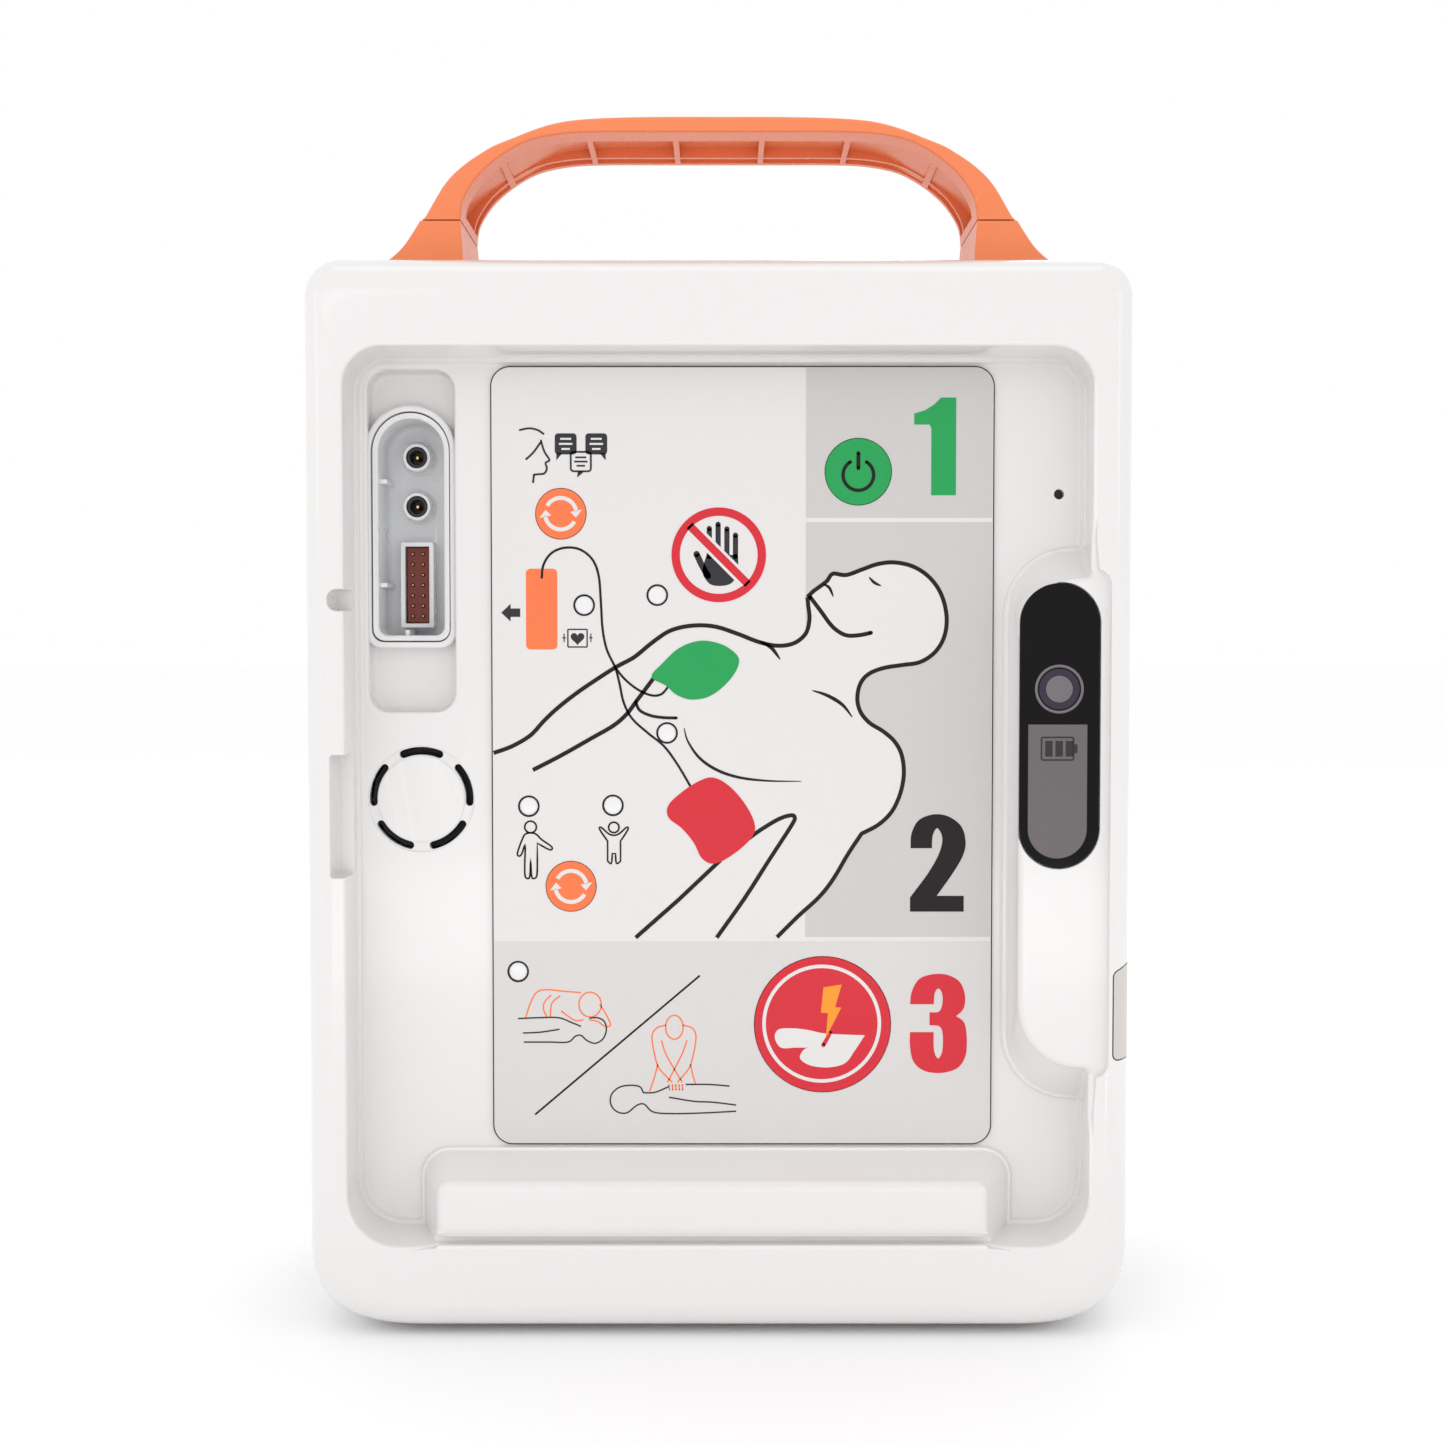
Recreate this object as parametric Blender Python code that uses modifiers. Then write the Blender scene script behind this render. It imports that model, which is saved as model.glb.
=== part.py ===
"""Portable automated defibrillator with its front panel open: case, handle, keys, sockets and battery pack.

The unit stands upright on its base. X runs to the user's right, Y from front to back and Z up.
The origin is the centre of the base. Every length is written in millimetres times MM.
"""

import math

import bmesh
import bpy
from mathutils import Matrix, Vector

MM = 0.001
GAP = 0.3 * MM

# Case: two shells that meet at a parting plane
CASE_HALF_WIDTH = 100 * MM
CASE_TOP = 254 * MM
CASE_FRONT = -47.5 * MM
CASE_PARTING = 2.5 * MM
CASE_REAR = 46 * MM
CASE_WALL = 2.5 * MM
CASE_FLARE = 2.8 * MM  # each side grows by this much from the front edge to the parting plane
SIDE_ROUND = 5 * MM
TOP_ROUND = 10 * MM
REAR_ROUND = 8 * MM
TOP_CORNER = 8 * MM
FOOT_CORNER = (28.6 * MM, 22.4 * MM)
FOOT_CORNER_POWER = 2.8

# Panel recess in the front shell, with the status island on its right and the rest below it
RECESS_DEPTH = 15 * MM
RECESS_LEFT = -85.8 * MM
RECESS_RIGHT = 86.4 * MM
RECESS_TOP = 230.6 * MM
RECESS_BOTTOM = 24.8 * MM
ISLAND_LEFT = 68.1 * MM
ISLAND_TOP = 186.7 * MM
ISLAND_BOTTOM = 54.3 * MM
ISLAND_DEPTH = 2 * MM
REST_LEFT = -71.8 * MM
REST_RIGHT = 70.5 * MM
REST_TOP = 42.4 * MM
REST_DEPTH = 1.5 * MM
PANEL_Y = CASE_FRONT + RECESS_DEPTH

# Graphic overlay on the panel
OVERLAY_THICK = 0.5 * MM
OVERLAY_X = (-54.5 * MM, 65.8 * MM)
OVERLAY_Z = (42.9 * MM, 229.9 * MM)
OVERLAY_CORNER = 4.8 * MM
OVERLAY_Y = PANEL_Y - GAP - OVERLAY_THICK

# Keys, as (x, z, radius), their travel, and what stands behind them
KEYS = {
    "power": (33.3 * MM, 204.8 * MM, 7.7 * MM),
    "language": (-37.7 * MM, 194.8 * MM, 5.8 * MM),
    "patient": (-35.5 * MM, 105.5 * MM, 5.8 * MM),
    "shock": (25.0 * MM, 72.1 * MM, 16.2 * MM),
}
KEY_CLEARANCE = 0.35 * MM
KEY_STAND = 0.25 * MM
KEY_THICK = 2.6 * MM
KEY_FLANGE = 0.8 * MM
KEY_STEM_RADIUS = 1.8 * MM
KEY_STEM_END = -29.8 * MM
SWITCH_FACE = -28.5 * MM
BOARD_Y = -25.8 * MM
BOARD_THICK = 1.6 * MM
MAIN_BOARD_Y = -3 * MM

# Indicator light pipes on the panel, as (x, z)
LENSES = [
    (-32.2 * MM, 173.0 * MM),
    (-14.7 * MM, 175.4 * MM),
    (-12.4 * MM, 142.4 * MM),
    (-45.6 * MM, 124.8 * MM),
    (-25.4 * MM, 125.0 * MM),
    (-48.3 * MM, 84.9 * MM),
]
LENS_RADIUS = 2.1 * MM
LENS_END = -28.6 * MM

# Plug pocket and connector well
POCKET_X = (-84.0 * MM, -63.2 * MM)
POCKET_Z = (147.4 * MM, 229.2 * MM)
POCKET_DEPTH = 21 * MM
COLLAR_DEPTH = 17 * MM
WELL_X = (-83.6 * MM, -64.6 * MM)
WELL_Z = (164.2 * MM, 219.5 * MM)
WELL_WALL = 1.3 * MM
WELL_FLOOR = 33 * MM
WELL_FLOOR_THICK = 1.5 * MM
SOCKET_X = -74.1 * MM
SOCKET_Z = {"upper": 209.4 * MM, "lower": 197.4 * MM}
SOCKET_FACE = 28 * MM
SOCKET_COLLAR_RADIUS = 3.5 * MM
SOCKET_RADIUS = 2.5 * MM
PIN_RADIUS = 0.5 * MM
PIN_END = -9.5 * MM
LEAD_RADIUS = 0.9 * MM
HEADER_CENTRE = (-74.1 * MM, 178.2 * MM)
HEADER_FRAME = (8.2 * MM, 21.0 * MM)
HEADER_SIZE = (5.5 * MM, 18.5 * MM)
HEADER_PITCH = 2.54 * MM
HEADER_ROWS = 7
HEADER_PIN = 0.64 * MM

# Status window, speaker and microphone
WINDOW_X = (70.1 * MM, 89.3 * MM)
WINDOW_Z = (111.0 * MM, 178.2 * MM)
WINDOW_THICK = 1.5 * MM
DISPLAY_X = (72.6 * MM, 86.8 * MM)
DISPLAY_Z = (113.5 * MM, 145.0 * MM)
SPEAKER_CENTRE = (-71.5 * MM, 126.5 * MM)
SPEAKER_SLOT = (10.6 * MM, 12.5 * MM)
SPEAKER_SLOTS = 5
SPEAKER_SLOT_ARC = math.radians(46)
SPEAKER_RADIUS = 14 * MM
MICROPHONE_CENTRE = (81.4 * MM, 199.5 * MM)
MICROPHONE_HOLE = 1.2 * MM

# Seats of the removed front lid: two hinge seats on the left and a release lever on the right
HINGE_SLOT = ((-91.1 * MM, -84 * MM), (171.4 * MM, 176.5 * MM))
HINGE_POCKET = ((-90.7 * MM, -84 * MM), (109.0 * MM, 137.8 * MM))
HINGE_DEPTH = 10 * MM
LEVER_X = 92.4 * MM
LEVER_Z = (65.7 * MM, 88.3 * MM)
LEVER_BACK = 19 * MM
LEVER_PIVOT = (95.4 * MM, CASE_FRONT + 4.6 * MM)
LEVER_PIN_RADIUS = 0.8 * MM

# Handle: an arch on two feet, hollow and ribbed underneath
HANDLE_Y = (-23.5 * MM, 12.5 * MM)
HANDLE_SPLIT = 266.5 * MM
HANDLE_INNER = [(62.6, 266.5), (61.9, 271.2), (59.2, 275.9), (55.8, 279.5), (51.0, 283.0),
                (45.5, 285.7), (37.6, 287.2), (28.0, 287.5)]
HANDLE_OUTER = [(72.0, 266.5), (66.4, 275.8), (62.4, 280.2), (58.3, 283.5), (54.2, 286.1),
                (46.0, 289.8), (38.0, 292.0), (28.0, 293.0)]
HANDLE_TOP = 293.0 * MM
HANDLE_SKIN = 2.0 * MM
HANDLE_RIB_PITCH = 21.2 * MM
HANDLE_RIB = 1.4 * MM
HANDLE_CELLS = ((-14.0 * MM, 3.4 * MM), (4.8 * MM, 10.4 * MM))
FOOT_OUTLINE = [(62.6, 266.2), (62.6, 254.3), (81.3, 254.3), (78.6, 256.2), (76.2, 259.4), (72.1, 266.2)]

# Battery pack in a bay in the rear shell
BAY_X = (-45 * MM, 45 * MM)
BAY_Z = (38 * MM, 130 * MM)
BAY_FLOOR = 15 * MM
BATTERY_CLEARANCE = 0.5 * MM
BATTERY_LID_THICK = 3 * MM
BATTERY_WALL = 1.8 * MM
TRAY_TOP = 108 * MM
CELL_RADIUS = 8.1 * MM
CELL_COUNT = 4
LATCH_X = (-11 * MM, 11 * MM)
LATCH_Z = (112 * MM, 129 * MM)
LATCH_TRAVEL = 3 * MM

# Fasteners and rubber pads, as (x, z)
SCREWS = [(-86 * MM, 40 * MM), (86 * MM, 40 * MM), (-86 * MM, 226 * MM), (86 * MM, 226 * MM)]
SCREW_BOSS = 5.5 * MM
SCREW_HEAD = 3.4 * MM
SCREW_SHANK = 1.5 * MM
SCREW_SEAT = 12 * MM
PADS = [(-76 * MM, 62 * MM), (76 * MM, 62 * MM), (-76 * MM, 200 * MM), (76 * MM, 200 * MM)]
PAD_RADIUS = 7 * MM
PAD_FACE = 47.5 * MM

ROUND_STEPS = 20
SMALL_STEPS = 14

COLOURS = {
    "white_plastic": ((0.86, 0.85, 0.84), 0.25, 0.0),
    "orange_plastic": ((0.92, 0.28, 0.06), 0.22, 0.0),
    "grey_plastic": ((0.48, 0.50, 0.52), 0.4, 0.0),
    "overlay_film": ((0.80, 0.79, 0.79), 0.35, 0.0),
    "green_key": ((0.05, 0.42, 0.14), 0.35, 0.0),
    "orange_key": ((0.90, 0.30, 0.08), 0.35, 0.0),
    "red_key": ((0.72, 0.04, 0.07), 0.35, 0.0),
    "clear_lens": ((0.85, 0.85, 0.85), 0.2, 0.0),
    "black_window": ((0.012, 0.011, 0.012), 0.08, 0.0),
    "black_plastic": ((0.03, 0.03, 0.03), 0.5, 0.0),
    "red_connector": ((0.22, 0.03, 0.02), 0.45, 0.0),
    "gold": ((0.85, 0.62, 0.25), 0.25, 1.0),
    "steel": ((0.60, 0.60, 0.62), 0.3, 1.0),
    "aluminium": ((0.75, 0.75, 0.76), 0.4, 1.0),
    "circuit_board": ((0.03, 0.22, 0.08), 0.5, 0.0),
    "rubber": ((0.05, 0.05, 0.05), 0.8, 0.0),
    "blue_film": ((0.06, 0.10, 0.35), 0.4, 0.0),
}


# ---------------------------------------------------------------- scene and material helpers

def clear_scene():
    for item in list(bpy.data.objects):
        bpy.data.objects.remove(item, do_unlink=True)


def new_collection(name):
    collection = bpy.data.collections.new(name)
    bpy.context.scene.collection.children.link(collection)
    return collection


def make_material(name):
    colour, roughness, metallic = COLOURS[name]
    material = bpy.data.materials.new(name)
    material.use_nodes = True
    shader = material.node_tree.nodes["Principled BSDF"]
    shader.inputs["Base Color"].default_value = (*colour, 1)
    shader.inputs["Roughness"].default_value = roughness
    shader.inputs["Metallic"].default_value = metallic
    return material


def add_object(name, mesh, material=None):
    """A part when it has a material, and a cutter when it hasn't."""
    made = bpy.data.objects.new(name, mesh)
    if material:
        PARTS.objects.link(made)
        mesh.materials.clear()
        mesh.materials.append(MATERIALS[material])
    else:
        CUTTERS.objects.link(made)
        made.hide_render = True
        made.display_type = "WIRE"
    return made


def mesh_from(name, build):
    """A new mesh that build(bm) fills in."""
    bm = bmesh.new()
    build(bm)
    bmesh.ops.recalc_face_normals(bm, faces=bm.faces)
    mesh = bpy.data.meshes.new(name)
    bm.to_mesh(mesh)
    bm.free()
    return mesh


def boolean(target, other, operation="DIFFERENCE"):
    modifier = target.modifiers.new(f"{operation.lower()}_{other.name}", "BOOLEAN")
    modifier.operation = operation
    modifier.object = other
    modifier.solver = "EXACT"
    return target


# ---------------------------------------------------------------- shape helpers

def box(name, x, y, z, material=None):
    """A box between two x, two y and two z."""
    size = Vector((x[1] - x[0], y[1] - y[0], z[1] - z[0]))
    centre = Vector((sum(x) / 2, sum(y) / 2, sum(z) / 2))
    mesh = mesh_from(name, lambda bm: bmesh.ops.create_cube(bm, size=1, matrix=Matrix.Diagonal((*size, 1))))
    made = add_object(name, mesh, material)
    made.location = centre
    return made


def cylinder(name, centre, radius, y, material=None, steps=ROUND_STEPS, back_radius=None):
    """A round piece along Y, centred on (x, z), between two depths. back_radius makes it a cone."""
    depth = y[1] - y[0]
    mesh = mesh_from(name, lambda bm: bmesh.ops.create_cone(
        bm, cap_ends=True, segments=steps, radius1=radius,
        radius2=radius if back_radius is None else back_radius, depth=depth,
        matrix=Matrix.Rotation(-math.pi / 2, 4, "X")))
    made = add_object(name, mesh, material)
    made.location = (centre[0], sum(y) / 2, centre[1])
    return made


def round_holes(name, holes, y, steps=SMALL_STEPS):
    """One cutter of separate cylinders along Y between two depths, from (x, z, radius) holes."""
    def build(bm):
        for x, z, radius in holes:
            place = Matrix.Translation((x, sum(y) / 2, z)) @ Matrix.Rotation(-math.pi / 2, 4, "X")
            bmesh.ops.create_cone(bm, cap_ends=True, segments=steps, radius1=radius, radius2=radius,
                                  depth=y[1] - y[0], matrix=place)
    return add_object(name, mesh_from(name, build))


def turned(name, centre, profile, material=None, steps=ROUND_STEPS):
    """A turned piece on a Y axis through (x, z), from its profile's (radius, y) points."""
    def build(bm):
        verts = [bm.verts.new((radius, y, 0)) for radius, y in profile]
        edges = [bm.edges.new(pair) for pair in zip(verts, verts[1:])]
        bmesh.ops.spin(bm, geom=verts + edges, cent=(0, 0, 0), axis=(0, 1, 0), angle=2 * math.pi,
                       steps=steps, use_merge=True)
        bmesh.ops.remove_doubles(bm, verts=bm.verts, dist=1e-6)
    made = add_object(name, mesh_from(name, build), material)
    made.location = (centre[0], 0, centre[1])
    return made


def arc(centre, radii, start, end, steps):
    """Points on an ellipse's arc, with angles in radians."""
    return [(centre[0] + radii[0] * math.cos(start + (end - start) * i / steps),
             centre[1] + radii[1] * math.sin(start + (end - start) * i / steps))
            for i in range(steps + 1)]


def rounded_outline(corners, steps=3):
    """A closed outline from (x, z, radius) corners, each corner replaced by an arc."""
    points = []
    for index, (x, z, radius) in enumerate(corners):
        here = Vector((x, z))
        before = (Vector(corners[index - 1][:2]) - here).normalized()
        after = (Vector(corners[(index + 1) % len(corners)][:2]) - here).normalized()
        half = before.angle(after) / 2
        centre = here + (before + after).normalized() * radius / math.sin(half)
        start = here + before * radius / math.tan(half) - centre
        turn = before.angle_signed(-after)
        points += [tuple(centre + Matrix.Rotation(-turn * i / steps, 2) @ start) for i in range(steps + 1)]
    return points


def rectangle(x, z, radius, steps=3):
    return rounded_outline([(x[0], z[1], radius), (x[1], z[1], radius),
                            (x[1], z[0], radius), (x[0], z[0], radius)], steps)


def stadium(x, z, foot_radius=None, steps=8):
    """An upright slot with round ends, or with a round top and a foot with corners of foot_radius."""
    radius = (x[1] - x[0]) / 2
    middle = sum(x) / 2
    top = arc((middle, z[1] - radius), (radius, radius), math.pi, 0, steps)
    if foot_radius is None:
        return top + arc((middle, z[0] + radius), (radius, radius), 0, -math.pi, steps)
    right = arc((x[1] - foot_radius, z[0] + foot_radius), (foot_radius,) * 2, 0, -math.pi / 2, 3)
    left = arc((x[0] + foot_radius, z[0] + foot_radius), (foot_radius,) * 2, -math.pi / 2, -math.pi, 3)
    return top + right + left


def grown(x, z, amount):
    """A pair of spans, larger by an amount all round."""
    return (x[0] - amount, x[1] + amount), (z[0] - amount, z[1] + amount)


def plate(name, outline, y, material=None, holes=()):
    """A flat outline in X and Z, extruded between two depths, with holes cut in it."""
    curve = bpy.data.curves.new(name, "CURVE")
    curve.dimensions = "2D"
    curve.fill_mode = "BOTH"
    curve.extrude = (y[1] - y[0]) / 2
    for ring in (outline, *holes):
        spline = curve.splines.new("POLY")
        spline.points.add(len(ring) - 1)
        for point, (x, z) in zip(spline.points, ring):
            point.co = (x, z, 0, 1)
        spline.use_cyclic_u = True
    guide = bpy.data.objects.new(name + "_guide", curve)
    bpy.context.scene.collection.objects.link(guide)
    guide.rotation_euler = (math.pi / 2, 0, 0)
    guide.location = (0, sum(y) / 2, 0)
    bpy.context.view_layer.update()
    graph = bpy.context.evaluated_depsgraph_get()
    mesh = bpy.data.meshes.new_from_object(guide.evaluated_get(graph))
    placed = guide.matrix_world.copy()
    bpy.data.objects.remove(guide)
    bm = bmesh.new()
    bm.from_mesh(mesh)
    bmesh.ops.remove_doubles(bm, verts=bm.verts, dist=1e-6)
    bmesh.ops.recalc_face_normals(bm, faces=bm.faces)
    bm.to_mesh(mesh)
    bm.free()
    made = add_object(name, mesh, material)
    made.matrix_world = placed
    return made


def loft(name, sections, material=None):
    """A body through unlike outlines: sections are (y, outline) with equal point counts."""
    def build(bm):
        rings = [[bm.verts.new((x, y, z)) for x, z in outline] for y, outline in sections]
        for near, far in zip(rings, rings[1:]):
            for i in range(len(near)):
                j = (i + 1) % len(near)
                bm.faces.new((near[i], near[j], far[j], far[i]))
        bm.faces.new(rings[0])
        bm.faces.new(list(reversed(rings[-1])))
    return add_object(name, mesh_from(name, build), material)


def tube(name, points, radius, material):
    """A round wire along a smooth curve through the points, with a point every few diameters."""
    smooth = []
    for i in range(len(points) - 1):
        p0, p1, p2, p3 = (Vector(points[max(0, min(len(points) - 1, i + k))]) for k in (-1, 0, 1, 2))
        for step in range(4):
            t = step / 4
            smooth.append(0.5 * (2 * p1 + (p2 - p0) * t + (2 * p0 - 5 * p1 + 4 * p2 - p3) * t * t
                                 + (3 * p1 - p0 - 3 * p2 + p3) * t ** 3))
    smooth.append(Vector(points[-1]))
    return wire(name, smooth, radius, material, resolution=2)


def wire(name, points, radius, material, resolution):
    curve = bpy.data.curves.new(name, "CURVE")
    curve.dimensions = "3D"
    curve.bevel_depth = radius
    curve.bevel_resolution = resolution
    curve.use_fill_caps = True
    spline = curve.splines.new("POLY")
    spline.points.add(len(points) - 1)
    for point, place in zip(spline.points, points):
        point.co = (*place, 1)
    curve.materials.append(MATERIALS[material])
    made = bpy.data.objects.new(name, curve)
    PARTS.objects.link(made)
    return made


def coil(name, start, axis, length, radius, wire_radius, turns, material):
    """A compression spring whose first end is centred on start and which runs along axis."""
    direction = Vector(axis)
    side = direction.orthogonal().normalized()
    other = direction.cross(side)
    steps_per_turn = 10
    points = []
    for i in range(turns * steps_per_turn + 1):
        angle = 2 * math.pi * i / steps_per_turn
        along = length * i / (turns * steps_per_turn)
        points.append(Vector(start) + direction * along
                      + (side * math.cos(angle) + other * math.sin(angle)) * radius)
    return wire(name, points, wire_radius, material, resolution=0)


def smooth_round(made, degrees=35):
    if made.type == "MESH" and made.data.polygons:
        made.data.shade_smooth()
        made.data.set_sharp_from_angle(angle=math.radians(degrees))


# ---------------------------------------------------------------- the case shells

def quarter_inset(radius, depth):
    """How far a rounded edge stands in from the full size, at a depth below the rounded face."""
    if depth >= radius:
        return 0.0
    return radius - math.sqrt(radius ** 2 - (radius - depth) ** 2)


def case_outline(half_width, top, bottom):
    """The case seen from the front: round top corners and fuller, flatter bottom ones."""
    corner = (TOP_CORNER, TOP_CORNER)
    wide, tall = FOOT_CORNER
    power = 2 / FOOT_CORNER_POWER
    points = arc((-half_width + TOP_CORNER, top - TOP_CORNER), corner, math.pi, math.pi / 2, 4)
    points += arc((half_width - TOP_CORNER, top - TOP_CORNER), corner, math.pi / 2, 0, 4)
    foot = [(math.cos(a) ** power, math.sin(a) ** power) for a in (math.pi / 2 * i / 8 for i in range(1, 8))]
    foot = [(1.0, 0.0), *foot, (0.0, 1.0)]
    points += [(half_width - wide + wide * c, bottom + tall - tall * s) for c, s in foot]
    points += [(-half_width + wide - wide * c, bottom + tall - tall * s) for c, s in reversed(foot)]
    return points


def front_section(depth, wall=0.0):
    """The front shell's outline at a depth behind its face, or its inside for a wall thickness."""
    outer = max(depth - wall, 0.0)
    side = quarter_inset(SIDE_ROUND, outer) + wall
    crown = quarter_inset(TOP_ROUND, outer) + wall
    full = CASE_PARTING - CASE_FRONT
    flare = CASE_FLARE * (1 - min(outer / full, 1.0))
    return case_outline(CASE_HALF_WIDTH - flare - side, CASE_TOP - crown, side)


def rear_section(depth, wall=0.0):
    """The rear shell's outline at a depth in from its rear face, or its inside for a wall thickness."""
    outer = max(depth - wall, 0.0)
    inset = quarter_inset(REAR_ROUND, outer) + wall
    full = CASE_REAR - CASE_PARTING
    flare = CASE_FLARE * (1 - min(outer / full, 1.0))
    return case_outline(CASE_HALF_WIDTH - flare - inset, CASE_TOP - inset, inset)


def front_solid(name, material=None, wall=0.0, back=CASE_PARTING - GAP / 2):
    levels = (0.0, 0.8 * MM, 2.5 * MM, 5 * MM, 10 * MM)
    sections = [(CASE_FRONT + wall + d, front_section(d + wall, wall)) for d in levels]
    return loft(name, sections + [(back, front_section(back - CASE_FRONT, wall))], material)


def rear_solid(name, material=None, wall=0.0, front=CASE_PARTING + GAP / 2):
    levels = (0.0, 0.8 * MM, 2.8 * MM, REAR_ROUND)
    sections = [(CASE_REAR - wall - d, rear_section(d + wall, wall)) for d in levels]
    return loft(name, sections + [(front, rear_section(CASE_REAR - front, wall))], material)


def recess_floor(amount=0.0):
    """The panel's outline at its floor. It steps round the status island and the rest."""
    left, right = RECESS_LEFT - amount, RECESS_RIGHT + amount
    top, bottom = RECESS_TOP + amount, RECESS_BOTTOM - amount
    island, rest = ISLAND_LEFT + amount, REST_TOP - amount
    return rounded_outline([
        (left, top, 6 * MM), (right, top, 6 * MM),
        (right, ISLAND_TOP - amount, 2 * MM), (island, ISLAND_TOP - amount, 17 * MM),
        (island, ISLAND_BOTTOM + amount, 17 * MM), (right, ISLAND_BOTTOM + amount, 2 * MM),
        (right, bottom, 6 * MM), (REST_RIGHT - amount, bottom, 2 * MM),
        (REST_RIGHT - amount, rest, 5 * MM), (REST_LEFT + amount, rest, 5 * MM),
        (REST_LEFT + amount, bottom, 2 * MM), (left, bottom, 6 * MM)], 4)


def recess_mouth(amount=0.0):
    """The same outline at the rim, where every wall has leaned back by its draft."""
    left, right = -87.2 * MM - amount, 86.8 * MM + amount
    top, bottom = 232.7 * MM + amount, 22.3 * MM - amount
    island, island_top, island_bottom = 70.4 * MM + amount, 179.5 * MM - amount, 63 * MM + amount
    rest_left, rest_right, rest_top = -67 * MM + amount, 64 * MM - amount, 37 * MM - amount
    return rounded_outline([
        (left, top, 8 * MM), (right, top, 8 * MM),
        (right, island_top, 2 * MM), (island, island_top, 16 * MM),
        (island, island_bottom, 16 * MM), (right, island_bottom, 2 * MM),
        (right, bottom, 8 * MM), (rest_right, bottom, 2 * MM),
        (rest_right, rest_top, 5 * MM), (rest_left, rest_top, 5 * MM),
        (rest_left, bottom, 2 * MM), (left, bottom, 8 * MM)], 4)


def depth_span(start, end):
    return CASE_FRONT + start, CASE_FRONT + end


def front_cavity():
    """The hollow inside the front shell: what the walls of the panel, pocket and seats leave."""
    cavity = front_solid("cavity_front", wall=CASE_WALL, back=CASE_PARTING + 2 * MM)
    floor = RECESS_DEPTH + CASE_WALL
    outside = -5 * MM
    kept = [
        loft("keep_panel", [
            (CASE_FRONT + outside, recess_mouth(CASE_WALL)), (CASE_FRONT + 1 * MM, recess_mouth(CASE_WALL)),
            (CASE_FRONT + floor, recess_floor(CASE_WALL))]),
        box("keep_pocket", (POCKET_X[0] - CASE_WALL, POCKET_X[1] + CASE_WALL), depth_span(outside, POCKET_DEPTH + 2 * MM),
            (POCKET_Z[0] - CASE_WALL, POCKET_Z[1] + 4 * MM)),
        box("keep_island", (ISLAND_LEFT - 1 * MM, 93 * MM), depth_span(outside, ISLAND_DEPTH + 3.6 * MM),
            (ISLAND_BOTTOM - 1 * MM, ISLAND_TOP + 1 * MM)),
        box("keep_rest", (REST_LEFT - 1 * MM, REST_RIGHT + 1 * MM), depth_span(outside, REST_DEPTH + 3 * MM),
            (RECESS_BOTTOM - 6 * MM, REST_TOP + 1 * MM)),
        box("keep_lever_seat", (LEVER_X - 2 * MM, 104 * MM), depth_span(outside, LEVER_BACK + 2.3 * MM),
            (LEVER_Z[0] - 4 * MM, LEVER_Z[1] + 4 * MM)),
    ]
    for name, (x, z) in (("slot", HINGE_SLOT), ("pocket", HINGE_POCKET)):
        kept.append(box(f"keep_hinge_{name}", (x[0] - 2 * MM, x[1]), depth_span(outside, HINGE_DEPTH + 2 * MM),
                        (z[0] - 2 * MM, z[1] + 2 * MM)))
    for piece in kept:
        boolean(cavity, piece)
    return cavity


def speaker_slot(number):
    inner, outer = SPEAKER_SLOT
    middle = math.pi / 2 + 2 * math.pi * number / SPEAKER_SLOTS
    ends = middle - SPEAKER_SLOT_ARC / 2, middle + SPEAKER_SLOT_ARC / 2
    return arc(SPEAKER_CENTRE, (outer, outer), *ends, 4) + arc(SPEAKER_CENTRE, (inner, inner), *reversed(ends), 4)


def cut_panel_holes(case):
    """Holes through the panel's floor for the keys, light pipes, speaker and microphone."""
    through = depth_span(RECESS_DEPTH - 1 * MM, RECESS_DEPTH + CASE_WALL + 1 * MM)
    keys = [(x, z, radius + KEY_CLEARANCE) for x, z, radius in KEYS.values()]
    small = [(x, z, LENS_RADIUS + GAP) for x, z in LENSES] + [(*MICROPHONE_CENTRE, MICROPHONE_HOLE)]
    boolean(case, round_holes("holes_keys", keys, through, ROUND_STEPS))
    boolean(case, round_holes("holes_small", small, through))
    slots = [speaker_slot(number) for number in range(SPEAKER_SLOTS)]
    boolean(case, plate("holes_speaker", slots[0], through, holes=slots[1:]))


def screw_bosses(case, y_span):
    bosses = [(x, z, SCREW_BOSS) for x, z in SCREWS]
    boolean(case, round_holes(f"bosses_{case.name}", bosses, y_span), "UNION")


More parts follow.
